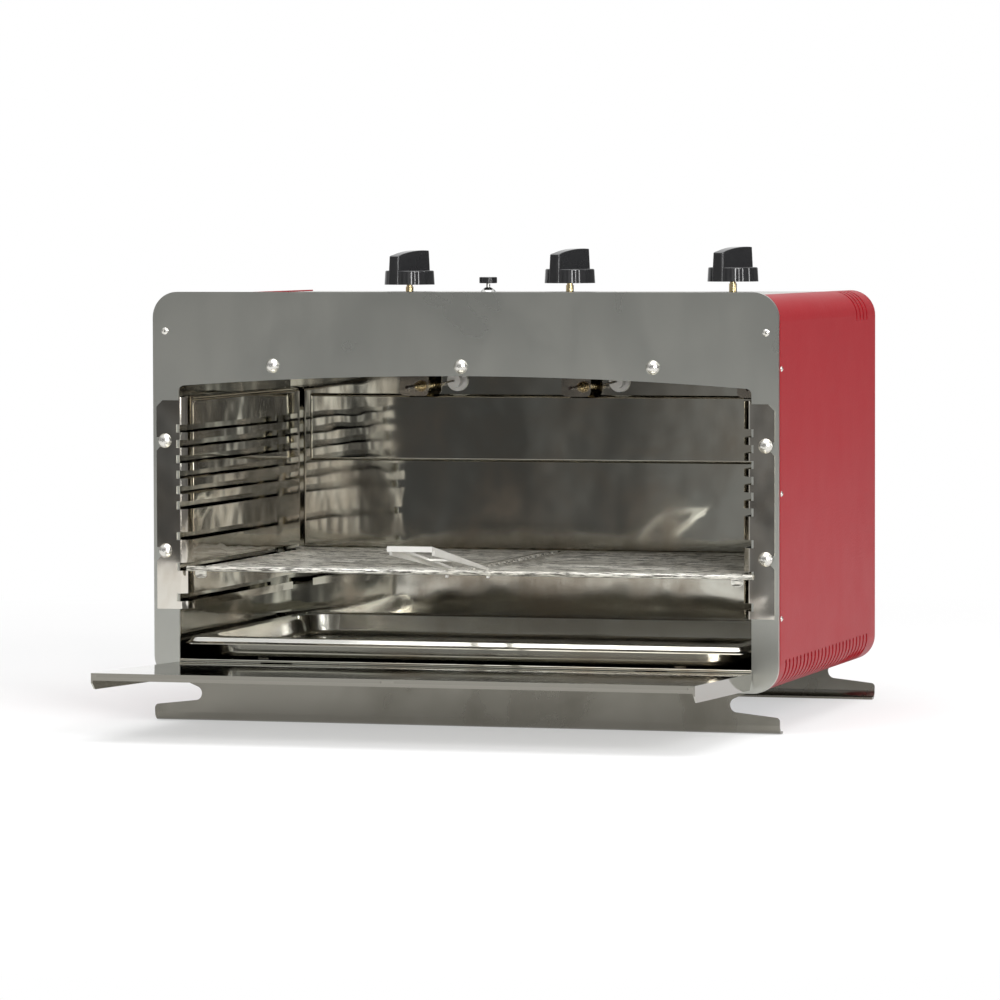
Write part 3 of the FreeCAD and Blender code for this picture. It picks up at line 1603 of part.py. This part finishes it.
# Fasteners
def dome_screws():
    inward = Vector(0, 1, 0)
    screws = []
    for place in rail_screw_places():
        screws.append(domed_screw(place - inward * rail_thickness, inward, dome_head_radius,
                                  dome_head_height, dome_shank_radius, dome_shank_length))
    for place in top_screw_places():
        screws.append(domed_screw(place, inward, dome_head_radius, dome_head_height,
                                  dome_shank_radius, dome_shank_length))
    return group(screws)


def frame_rivets():
    """Tubular rivets with a sunk middle."""
    rivets = []
    for place in rivet_places():
        rivet = domed_screw(place, Vector(0, 1, 0), rivet_radius, rivet_height,
                            small_shank_radius, small_shank_length)
        sink = rod(place - Vector(0, rivet_height + 1, 0), place, rivet_sink_radius)
        rivets.append(rivet.cut(sink))
    return group(rivets)


def small_screw(face, inward):
    return domed_screw(face, inward, small_head_radius, small_head_height,
                       small_shank_radius, small_shank_length)


def cover_screws():
    """The small screws of the side covers, the rear cover and the feet."""
    screws = []
    for side in (-1, 1):
        for level in side_screw_levels():
            screws.append(small_screw(Vector(side * half_width, side_screw_y(), level),
                                      Vector(-side, 0, 0)))
        for level in rear_screw_levels():
            screws.append(small_screw(Vector(side * rear_screw_x(), cabinet_depth, level),
                                      Vector(0, -1, 0)))
    for y in foot_screw_rows():
        for x in foot_screw_columns():
            screws.append(small_screw(Vector(x, y, bottom_panel_under - foot_thickness),
                                      Vector(0, 0, 1)))
    return group(screws)


single_pieces = {
    "front_frame": front_frame,
    "right_side_cover": right_side_cover,
    "left_side_cover": lambda: mirrored(right_side_cover()),
    "top_cover": top_cover,
    "rear_cover": rear_cover,
    "bottom_panel": bottom_panel,
    "front_foot": front_foot,
    "rear_foot": rear_foot,
    "cavity_wall_right": cavity_wall_right,
    "cavity_wall_left": lambda: mirrored(cavity_wall_right()),
    "cavity_back": cavity_back,
    "cavity_floor": cavity_floor,
    "floor_bearers": floor_bearers,
    "hood_plate": hood_plate,
    "heat_shield": heat_shield,
    "rail_insert_right": rail_insert_right,
    "rail_insert_left": lambda: mirrored(rail_insert_right()),
    "front_ledge": front_ledge,
    "drip_tray": drip_tray,
    "grate_frame": grate_frame,
    "grate_plate_left": grate_plate_left,
    "grate_plate_right": grate_plate_right,
    "grate_handle": grate_handle,
    "gas_manifold": gas_manifold,
    "manifold_brackets": manifold_brackets,
    "gas_inlet": gas_inlet,
    "injectors": injectors,
    "valve_springs": valve_springs,
    "igniter_body": igniter_body,
    "igniter_bezel": igniter_bezel,
    "igniter_button": igniter_button,
    "igniter_spring": igniter_spring,
    "sensor_brackets": sensor_brackets,
    "thermocouples": thermocouples,
    "electrode_ceramics": electrode_ceramics,
    "electrode_wires": electrode_wires,
    "dome_screws": dome_screws,
    "frame_rivets": frame_rivets,
    "cover_screws": cover_screws,
}

burner_pieces = {
    "burner_housing": burner_housing,
    "burner_plaque": burner_plaque,
    "mixing_tube": mixing_tube,
    "valve_body": valve_body,
    "valve_push_rod": valve_push_rod,
    "valve_spindle": valve_spindle,
    "knob": knob,
}

for name, make in single_pieces.items():
    save(name, make())
for number, place in enumerate(burner_places(), start=1):
    for name, make in burner_pieces.items():
        save(name + "_" + str(number), make(place))
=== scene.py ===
import json
import math
import bpy
from mathutils import Matrix, Vector


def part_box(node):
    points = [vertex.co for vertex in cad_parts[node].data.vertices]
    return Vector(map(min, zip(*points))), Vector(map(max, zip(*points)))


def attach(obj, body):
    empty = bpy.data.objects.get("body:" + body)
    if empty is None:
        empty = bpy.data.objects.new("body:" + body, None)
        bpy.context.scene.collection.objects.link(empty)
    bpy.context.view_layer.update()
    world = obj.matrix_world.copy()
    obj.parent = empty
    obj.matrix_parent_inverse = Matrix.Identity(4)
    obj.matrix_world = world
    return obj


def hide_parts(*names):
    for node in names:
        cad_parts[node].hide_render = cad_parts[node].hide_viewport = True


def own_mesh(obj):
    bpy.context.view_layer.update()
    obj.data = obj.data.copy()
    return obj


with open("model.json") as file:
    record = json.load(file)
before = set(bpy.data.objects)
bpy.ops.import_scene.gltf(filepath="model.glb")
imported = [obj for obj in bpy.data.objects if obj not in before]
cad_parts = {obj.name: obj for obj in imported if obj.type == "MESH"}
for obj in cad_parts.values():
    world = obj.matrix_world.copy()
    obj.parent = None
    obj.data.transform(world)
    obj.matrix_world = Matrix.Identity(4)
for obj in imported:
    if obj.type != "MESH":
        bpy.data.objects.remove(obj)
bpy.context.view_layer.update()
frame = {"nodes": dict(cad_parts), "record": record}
nodes = frame["nodes"]
scene = bpy.context.scene

# Camera: angles in degrees, place in metres from the foot of the front frame's middle
camera_focal = 197.78
camera_sensor = 36.0
camera_reach = 60.0
camera_yaw = 16.3717
camera_pitch = -2.8212
camera_roll = -0.1358
camera_place = Vector((1.4542, -4.8227, 0.4574))

# Igniter: height of its cap, in metres, and the height over which cap and stem blend
cap_height = 0.0064
cap_blend = 0.0001

# Thermocouples: metres behind the tip up to which they are burnt, and from which they are bright
burnt_to = 0.018
bright_from = 0.030

# Valve springs, in metres
spring_wire_radius = 0.0004
spring_turns = 8
spring_steps = 20
spring_sides = 8

# Stage, in metres
floor_radius = 3.4
floor_ahead = 2.2
floor_sides = 96
floor_sink = 0.0004
backdrop_distance = 5.0
backdrop_left = -4.2
backdrop_right = 0.1
backdrop_low = -0.3
backdrop_height = 6.0
stage_colour = (0.80, 0.80, 0.80, 1.0)

# Room: brightness by degrees from straight ahead of the front, towards the right
room = [
    (-180, 0.80), (-150, 0.70), (-110, 0.45), (-80, 0.35), (-62, 0.22), (-58, 0.95), (-54, 0.95),
    (-50, 0.18), (-40, 0.16), (-33, 0.40), (-26, 0.40), (-21, 0.13), (-18, 0.08), (-16.4, 0.06),
    (-15, 0.12), (-13.6, 0.24), (-10, 0.42), (-5, 0.40), (1, 0.14), (8, 0.16), (11, 1.20),
    (13.5, 0.35), (16, 1.25), (18.5, 0.14), (32, 0.14), (70, 0.16), (100, 0.12), (160, 0.12),
    (172, 0.40),
]
# The clutter in the room makes its walls darker and brighter by these factors
clutter_dark = 0.45
clutter_bright = 1.55
# Ceiling: its brightness, and the upward slope at which walls end and ceiling starts
ceiling_grey = 0.90
walls_end = 0.42
ceiling_start = 0.62
# Bright windows: middle in the same degrees, half width, brightness
windows = [(25.5, 1.8, 16.0), (42.0, 0.9, 16.0), (60.0, 1.2, 16.0), (94.0, 1.6, 12.0)]
window_low = -0.05
window_high = 0.50
window_fade = 0.04
window_side_fade = 0.5

# Lamps: place and target in metres, size in metres, power in watts
lamps = {
    "top_lamp": ((0.3, -0.6, 2.6), (0.0, 0.1, 0.2), (2.4, 1.6), 40),
    "front_lamp": ((2.6, -2.7, 2.0), (0.0, 0.1, 0.15), (1.6, 1.0), 80),
}

# Steel sheets: colour and roughness, clean and stained; waves are (scale, height) pairs; a darker
# colour for upright faces, where given, is painted shade
sheets = {
    "satin_steel": dict(colour=(0.50, 0.505, 0.465), stain=(0.47, 0.47, 0.43),
                        rough=0.27, rough_stain=0.33, waves=((9.0, 0.00002),)),
    # Feet: same steel with its colour darkened as painted shade, for the shadowed floor under the
    # ledge that they reflect
    "shaded_foot_steel": dict(colour=(0.24, 0.23, 0.20), stain=(0.20, 0.19, 0.16),
                       rough=0.20, rough_stain=0.32, waves=((4.0, 0.0030),)),
    "mirror_steel": dict(colour=(0.56, 0.555, 0.505), stain=(0.50, 0.48, 0.43),
                         rough=0.03, rough_stain=0.10, waves=((6.0, 0.0006),),
                         # Painted shade: upright faces of this sheet (the ledge's skirts) take
                         # this darker colour
                         upright_shade=(0.25, 0.24, 0.21)),
    "rail_steel": dict(colour=(0.70, 0.68, 0.62), stain=(0.56, 0.50, 0.42),
                       rough=0.03, rough_stain=0.10, waves=((5.0, 0.004), (30.0, 0.0004))),
    "cavity_steel": dict(colour=(0.54, 0.535, 0.475), stain=(0.40, 0.35, 0.28),
                         rough=0.03, rough_stain=0.14, waves=((3.5, 0.007), (24.0, 0.00035))),
    "tray_steel": dict(colour=(0.66, 0.655, 0.615), stain=(0.56, 0.54, 0.49),
                       rough=0.12, rough_stain=0.24, waves=((7.0, 0.0015),)),
    "handle_steel": dict(colour=(0.86, 0.85, 0.81), stain=(0.72, 0.70, 0.65),
                         rough=0.34, rough_stain=0.46, waves=((14.0, 0.0004),), metallic=0.55),
}

# Other finishes: two colours and two roughnesses between which they drift, and the drift's scale
solids = {
    "zinc_sheet": dict(first=(0.50, 0.51, 0.52), second=(0.60, 0.61, 0.62),
                       rough=(0.35, 0.5), scale=40.0, metallic=1.0),
    "burner_steel": dict(first=(0.30, 0.28, 0.24), second=(0.20, 0.17, 0.14),
                         rough=(0.14, 0.30), scale=30.0, metallic=1.0),
    "ceramic": dict(first=(0.80, 0.74, 0.64), second=(0.70, 0.62, 0.52),
                    rough=(0.8, 0.9), scale=60.0, bump=0.0003),
    "white_ceramic": dict(first=(0.94, 0.93, 0.91), second=(0.90, 0.89, 0.86),
                          rough=(0.08, 0.16), scale=50.0),
    "brass": dict(first=(0.76, 0.62, 0.36), second=(0.62, 0.50, 0.28),
                  rough=(0.16, 0.30), scale=60.0, metallic=1.0),
    "gas_line_steel": dict(first=(0.28, 0.28, 0.29), second=(0.34, 0.34, 0.35),
                           rough=(0.4, 0.5), scale=30.0),
    "black_plastic": dict(first=(0.014, 0.014, 0.015), second=(0.022, 0.022, 0.023),
                          rough=(0.06, 0.12), scale=30.0),
    "chrome": dict(first=(0.80, 0.80, 0.79), second=(0.70, 0.70, 0.68),
                   rough=(0.04, 0.12), scale=60.0, metallic=1.0),
    "spring_steel": dict(first=(0.50, 0.50, 0.50), second=(0.42, 0.42, 0.42),
                         rough=(0.25, 0.4), scale=60.0, metallic=1.0),
    "screw_steel": dict(first=(0.76, 0.75, 0.71), second=(0.64, 0.62, 0.57),
                        rough=(0.20, 0.3), scale=90.0, metallic=1.0),
}

# Nodes with a finish of their own, instead of the one that the record names
own_finishes = {
    "grate_handle": "handle_steel",
    "igniter_button": "igniter_button",
    "thermocouples": "thermocouple",
    "electrode_wires": "burner_steel",
    # The feet take the steel darkened with painted shade
    "front_foot": "shaded_foot_steel",
    "rear_foot": "shaded_foot_steel",
    "rail_insert_left": "rail_steel",
    "rail_insert_right": "rail_steel",
}


class Graph:
    """Node tree of a material or the room, with short ways to add and join its nodes."""

    def __init__(self, owner):
        owner.use_nodes = True
        self.owner = owner
        self.tree = owner.node_tree
        self.shader = self.tree.nodes.get("Principled BSDF")
        self.place = self.add("ShaderNodeTexCoord").outputs["Object"]

    def add(self, kind, **settings):
        node = self.tree.nodes.new(kind)
        for key, value in settings.items():
            setattr(node, key, value)
        return node

    def link(self, source, target):
        self.tree.links.new(source, target)

    def put(self, name, value):
        """Sets an input of the shader to a value."""
        self.shader.inputs[name].default_value = value

    def feed(self, name, source):
        """Joins an output to an input of the shader."""
        self.link(source, self.shader.inputs[name])

    def split(self, vector):
        node = self.add("ShaderNodeSeparateXYZ")
        self.link(vector, node.inputs["Vector"])
        return node.outputs

    def stretch(self, scale, turn=(0.0, 0.0, 0.0)):
        """Object coordinates scaled along each axis and turned."""
        mapping = self.add("ShaderNodeMapping")
        mapping.inputs["Scale"].default_value = scale
        mapping.inputs["Rotation"].default_value = turn
        self.link(self.place, mapping.inputs["Vector"])
        return mapping.outputs["Vector"]

    def noise(self, scale, detail=2.0, roughness=0.5, place=None, distortion=0.0):
        node = self.add("ShaderNodeTexNoise")
        node.inputs["Scale"].default_value = scale
        node.inputs["Detail"].default_value = detail
        node.inputs["Roughness"].default_value = roughness
        node.inputs["Distortion"].default_value = distortion
        self.link(place or self.place, node.inputs["Vector"])
        return node.outputs["Fac"]

    def between(self, value, low, high, start=0.0, end=1.0):
        """Value from start..end taken to low..high, held at both ends."""
        node = self.add("ShaderNodeMapRange")
        node.inputs["From Min"].default_value = start
        node.inputs["From Max"].default_value = end
        node.inputs["To Min"].default_value = low
        node.inputs["To Max"].default_value = high
        self.link(value, node.inputs["Value"])
        return node.outputs["Result"]

    def rising(self, value, start, end):
        """0 up to start, 1 from end on."""
        return self.between(value, 0.0, 1.0, start=start, end=end)

    def falling(self, value, start, end):
        """1 up to start, 0 from end on."""
        return self.between(value, 1.0, 0.0, start=start, end=end)

    def math(self, kind, *values):
        node = self.add("ShaderNodeMath", operation=kind)
        for socket, value in zip(node.inputs, values):
            if isinstance(value, (int, float)):
                socket.default_value = value
            else:
                self.link(value, socket)
        return node.outputs["Value"]

    def mix(self, amount, first, second):
        """Colour between first and second, each a colour or an output."""
        node = self.add("ShaderNodeMix", data_type="RGBA")
        self.link(amount, node.inputs[0])
        for socket, value in ((node.inputs[6], first), (node.inputs[7], second)):
            if isinstance(value, tuple):
                socket.default_value = (*value, 1.0)
            else:
                self.link(value, socket)
        return node.outputs[2]

    def bump(self, height, distance, strength=1.0, under=None):
        node = self.add("ShaderNodeBump")
        node.inputs["Strength"].default_value = strength
        node.inputs["Distance"].default_value = distance
        self.link(height, node.inputs["Height"])
        if under:
            self.link(under, node.inputs["Normal"])
        return node.outputs["Normal"]


def new_graph(name):
    return Graph(bpy.data.materials.new(name))


def steel(name, colour, stain, rough, rough_stain, waves, upright_shade=None, metallic=1.0):
    """Stainless sheet whose smudges change its roughness and colour.

    Upright faces take a darker colour, if one is given: painted shade on the upright faces.
    """
    graph = new_graph(name)
    graph.put("Metallic", metallic)
    clouds = graph.noise(7.0, detail=4.0, roughness=0.6, distortion=0.6)
    marks = graph.noise(38.0, detail=5.0, roughness=0.65, place=graph.stretch((1.0, 1.0, 0.35)))
    smudge = graph.math("MULTIPLY", graph.rising(clouds, start=0.35, end=0.7), marks)
    tone = graph.mix(graph.rising(smudge, start=0.05, end=0.5), colour, stain)
    # Painted shade: faces that stand upright are darkened towards the given colour
    if upright_shade:
        normal = graph.split(graph.add("ShaderNodeTexCoord").outputs["Normal"])
        slope = graph.math("ABSOLUTE", normal["Z"])
        tone = graph.mix(graph.falling(slope, start=0.5, end=0.8), tone, upright_shade)
    graph.feed("Base Color", tone)
    graph.feed("Roughness", graph.between(smudge, rough, rough_stain, start=0.05, end=0.5))
    surface = None
    for scale, height in waves:
        wave = graph.noise(scale, detail=1.0, roughness=0.4)
        surface = graph.bump(wave, distance=height, under=surface)
    graph.feed("Normal", surface)
    return graph.owner


def solid(name, first, second, rough, scale, metallic=0.0, bump=None):
    """Finish whose colour and gloss drift a little over the surface."""
    graph = new_graph(name)
    graph.put("Metallic", metallic)
    drift = graph.noise(scale, detail=4.0, roughness=0.6)
    graph.feed("Base Color", graph.mix(drift, first, second))
    graph.feed("Roughness", graph.between(drift, *rough, start=0.3, end=0.7))
    if bump:
        graph.feed("Normal", graph.bump(graph.noise(300.0, detail=3.0), distance=bump))
    return graph.owner


def red_powder_coat(name):
    graph = new_graph(name)
    drift = graph.noise(3.0, detail=3.0, roughness=0.6)
    graph.feed("Base Color", graph.mix(drift, (0.29, 0.011, 0.016), (0.25, 0.009, 0.014)))
    graph.feed("Roughness", graph.between(graph.noise(25.0, detail=4.0), 0.36, 0.46))
    graph.put("Specular IOR Level", 0.12)
    graph.feed("Normal", graph.bump(graph.noise(420.0), distance=0.0004, strength=0.5))
    return graph.owner


def grate_steel(name):
    """Bright stamped steel, dulled by use, with a fine grain along its width."""
    graph = new_graph(name)
    graph.put("Metallic", 0.35)
    grain = graph.noise(700.0, detail=3.0, roughness=0.7, place=graph.stretch((0.10, 1.0, 1.0)))
    drift = graph.noise(9.0, detail=3.0, roughness=0.6,
                        place=graph.stretch((0.6, 1.6, 1.0), turn=(0.0, 0.0, 0.5)))
    bright = graph.mix(graph.rising(drift, start=0.35, end=0.65), (0.52, 0.50, 0.44),
                       (0.94, 0.925, 0.86))
    worn = graph.rising(grain, start=0.40, end=0.54)
    graph.feed("Base Color", graph.mix(worn, (0.10, 0.095, 0.08), bright))
    graph.feed("Roughness", graph.between(grain, 0.5, 0.32, start=0.3, end=0.7))
    graph.feed("Normal", graph.bump(grain, distance=0.0006, strength=0.6))
    return graph.owner


def igniter_finish(name):
    """Black cap on a bright stem, split by height under the cap."""
    graph = new_graph(name)
    cap_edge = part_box("igniter_button")[1].z - cap_height
    cap = graph.rising(graph.split(graph.place)["Z"], start=cap_edge, end=cap_edge + cap_blend)
    graph.feed("Base Color", graph.mix(cap, (0.62, 0.62, 0.60), (0.016, 0.016, 0.017)))
    graph.feed("Metallic", graph.between(cap, 1.0, 0.0))
    graph.feed("Roughness", graph.between(cap, 0.25, 0.12))
    return graph.owner


def thermocouple_finish(name):
    """Gold fitting with a tip that the flame has darkened."""
    graph = new_graph(name)
    graph.put("Metallic", 1.0)
    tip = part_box("thermocouples")[0].y
    depth = graph.split(graph.place)["Y"]
    burnt = graph.falling(depth, start=tip + burnt_to, end=tip + bright_from)
    graph.feed("Base Color", graph.mix(burnt, (0.78, 0.62, 0.34), (0.045, 0.035, 0.03)))
    graph.feed("Roughness", graph.between(graph.noise(300.0, detail=3.0), 0.12, 0.4))
    graph.feed("Normal", graph.bump(graph.noise(400.0), distance=0.0004))
    return graph.owner


def make_finishes():
    """All finishes by name."""
    finishes = {name: steel(name, **values) for name, values in sheets.items()}
    for name, values in solids.items():
        finishes[name] = solid(name, **values)
    for name, make in (("red_powder_coat", red_powder_coat), ("grate_steel", grate_steel),
                       ("igniter_button", igniter_finish), ("thermocouple", thermocouple_finish)):
        finishes[name] = make(name)
    return finishes


def dress_nodes():
    """Gives every CAD node its finish: its own one, or the one that the record names for it."""
    for part in frame["record"]["subparts"]:
        mesh = nodes[part["node"]].data
        mesh.materials.clear()
        finish = own_finishes.get(part["node"], part["material_slot"])
        mesh.materials.append(finishes[finish])


def coil(name, middle, radius, low, high):
    """Closed-end coil of round wire, upright, from height low to high."""
    end_pitch = 2.0 * spring_wire_radius
    open_pitch = (high - low - 3.0 * end_pitch) / (spring_turns - 2)
    points = []
    for step in range(spring_turns * spring_steps + 1):
        turn = step / spring_steps
        rise = end_pitch * (min(turn, 1.0) + max(turn - spring_turns + 1.0, 0.0))
        rise += open_pitch * min(max(turn - 1.0, 0.0), spring_turns - 2.0)
        angle = 2.0 * math.pi * turn
        for side in range(spring_sides):
            around = 2.0 * math.pi * side / spring_sides
            reach = radius + spring_wire_radius * math.cos(around)
            height = low + spring_wire_radius * (1.0 + math.sin(around)) + rise
            points.append((middle.x + reach * math.cos(angle),
                           middle.y + reach * math.sin(angle), height))
    faces = [list(range(spring_sides)),
             [len(points) - 1 - side for side in range(spring_sides)]]
    for start in range(0, len(points) - spring_sides, spring_sides):
        for side in range(spring_sides):
            beside = (side + 1) % spring_sides
            faces.append([start + side, start + spring_sides + side,
                          start + spring_sides + beside, start + beside])
    mesh = bpy.data.meshes.new(name)
    mesh.from_pydata(points, [], faces)
    mesh.shade_smooth()
    piece = bpy.data.objects.new(name, mesh)
    scene.collection.objects.link(piece)
    return piece


def build_springs():
    """Coiled valve springs, one around each push rod, fixed to the cabinet in place of the
    valve_springs node.
    """
    low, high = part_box("valve_springs")
    radius = (high.y - low.y) / 2.0 - spring_wire_radius
    for number in (1, 2, 3):
        rod_low, rod_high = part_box(f"valve_push_rod_{number}")
        middle = (rod_low + rod_high) / 2.0
        spring = coil(f"valve_coil_{number}", middle, radius, low.z, high.z)
        spring.data.materials.append(finishes["spring_steel"])
        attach(spring, "cabinet")
        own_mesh(spring)
        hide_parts("valve_springs")


def stage_material(name, near_share=1.0, far_share=1.0, near=0.0, far=1.0):
    """Pale surface that also glows white for the camera and in reflections.

    The glow's share goes from near_share to far_share between two distances from the part.
    """
    graph = new_graph(name)
    graph.put("Base Color", stage_colour)
    graph.put("Roughness", 1.0)
    graph.put("Specular IOR Level", 0.0)
    path = graph.add("ShaderNodeLightPath")
    seen = graph.math("MAXIMUM", path.outputs["Is Camera Ray"], path.outputs["Is Glossy Ray"])
    seen = graph.math("MAXIMUM", seen, path.outputs["Is Transmission Ray"])
    distance = graph.add("ShaderNodeVectorMath", operation="LENGTH")
    position = graph.add("ShaderNodeNewGeometry").outputs["Position"]
    graph.link(position, distance.inputs[0])
    share = graph.between(distance.outputs["Value"], near_share, far_share, start=near, end=far)
    white = graph.add("ShaderNodeEmission")
    blend = graph.add("ShaderNodeMixShader")
    graph.link(graph.math("MULTIPLY", seen, share), blend.inputs["Fac"])
    graph.link(graph.shader.outputs["BSDF"], blend.inputs[1])
    graph.link(white.outputs["Emission"], blend.inputs[2])
    graph.link(blend.outputs["Shader"], graph.tree.nodes["Material Output"].inputs["Surface"])
    return graph.owner


def stage_object(name, points, material):
    mesh = bpy.data.meshes.new(name)
    mesh.from_pydata(points, [], [range(len(points))])
    mesh.materials.append(material)
    stage = bpy.data.objects.new(name, mesh)
    scene.collection.objects.link(stage)


def build_stage():
    """Round floor, and a white wall far behind on the left."""
    turns = [math.radians(360.0 * side / floor_sides) for side in range(floor_sides)]
    rim = [(floor_radius * math.cos(turn),
            floor_radius * math.sin(turn) + floor_radius - floor_ahead, -floor_sink)
           for turn in turns]
    stage_object("floor", rim, stage_material("floor_white", near_share=0.45, near=0.7, far=1.8))
    wall = [(backdrop_left, backdrop_distance, backdrop_low),
            (backdrop_right, backdrop_distance, backdrop_low),
            (backdrop_right, backdrop_distance, backdrop_height),
            (backdrop_left, backdrop_distance, backdrop_height)]
    stage_object("backdrop", wall, stage_material("backdrop_white"))


def build_world():
    """Soft room with bright windows to the right, darker behind on the right."""
    world = bpy.data.worlds.new("studio")
    scene.world = world
    graph = Graph(world)
    graph.place = graph.add("ShaderNodeTexCoord").outputs["Generated"]
    direction = graph.split(graph.place)
    ahead = graph.math("MULTIPLY", direction["Y"], -1.0)
    turn = graph.math("ARCTAN2", direction["X"], ahead)
    ramp = graph.add("ShaderNodeValToRGB")
    stops = ramp.color_ramp.elements
    while len(stops) < len(room):
        stops.new(0.5)
    for stop, (degrees, grey) in zip(stops, room):
        stop.position = degrees / 360.0 + 0.5
        stop.color = (grey, grey, grey, 1.0)
    graph.link(graph.rising(turn, start=-math.pi, end=math.pi), ramp.inputs["Fac"])
    clutter = graph.between(graph.noise(5.0, detail=3.0), clutter_dark, clutter_bright,
                            start=0.3, end=0.7)
    walls = graph.math("MULTIPLY", ramp.outputs["Color"], clutter)
    overhead = graph.rising(direction["Z"], start=walls_end, end=ceiling_start)
    rest = graph.math("SUBTRACT", 1.0, overhead)
    light = graph.math("ADD", graph.math("MULTIPLY", walls, rest),
                       graph.math("MULTIPLY", overhead, ceiling_grey))
    above = graph.rising(direction["Z"], start=window_low, end=window_low + window_fade)
    below = graph.falling(direction["Z"], start=window_high - window_fade, end=window_high)
    height = graph.math("MULTIPLY", above, below)
    for degrees, half, glow in windows:
        aside = graph.math("ABSOLUTE", graph.math("SUBTRACT", turn, math.radians(degrees)))
        share = graph.between(aside, glow, 0.0, start=math.radians(half),
                              end=math.radians(half + window_side_fade))
        light = graph.math("ADD", light, graph.math("MULTIPLY", share, height))
    graph.link(light, graph.tree.nodes["Background"].inputs["Color"])


def build_lamps():
    for name, (place, target, size, power) in lamps.items():
        data = bpy.data.lights.new(name, "AREA")
        data.shape = "RECTANGLE"
        data.size, data.size_y = size
        data.energy = power
        lamp = bpy.data.objects.new(name, data)
        scene.collection.objects.link(lamp)
        lamp.location = place
        aim = Vector(target) - Vector(place)
        lamp.rotation_euler = aim.to_track_quat("-Z", "Y").to_euler()


def build_camera():
    data = bpy.data.cameras.new("camera")
    data.lens = camera_focal
    data.sensor_width = camera_sensor
    data.clip_end = camera_reach
    camera = bpy.data.objects.new("camera", data)
    scene.collection.objects.link(camera)
    plate_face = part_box("front_frame")[0].y
    place = Matrix.Translation(camera_place + Vector((0.0, plate_face, 0.0)))
    turn = Matrix.Rotation(math.radians(camera_yaw), 4, "Z")
    tilt = Matrix.Rotation(math.radians(90.0 + camera_pitch), 4, "X")
    roll = Matrix.Rotation(math.radians(camera_roll), 4, "Z")
    camera.matrix_world = place @ turn @ tilt @ roll
    scene.camera = camera


finishes = make_finishes()
dress_nodes()
build_springs()
build_stage()
build_world()
build_lamps()
build_camera()
scene.view_settings.view_transform = "Standard"
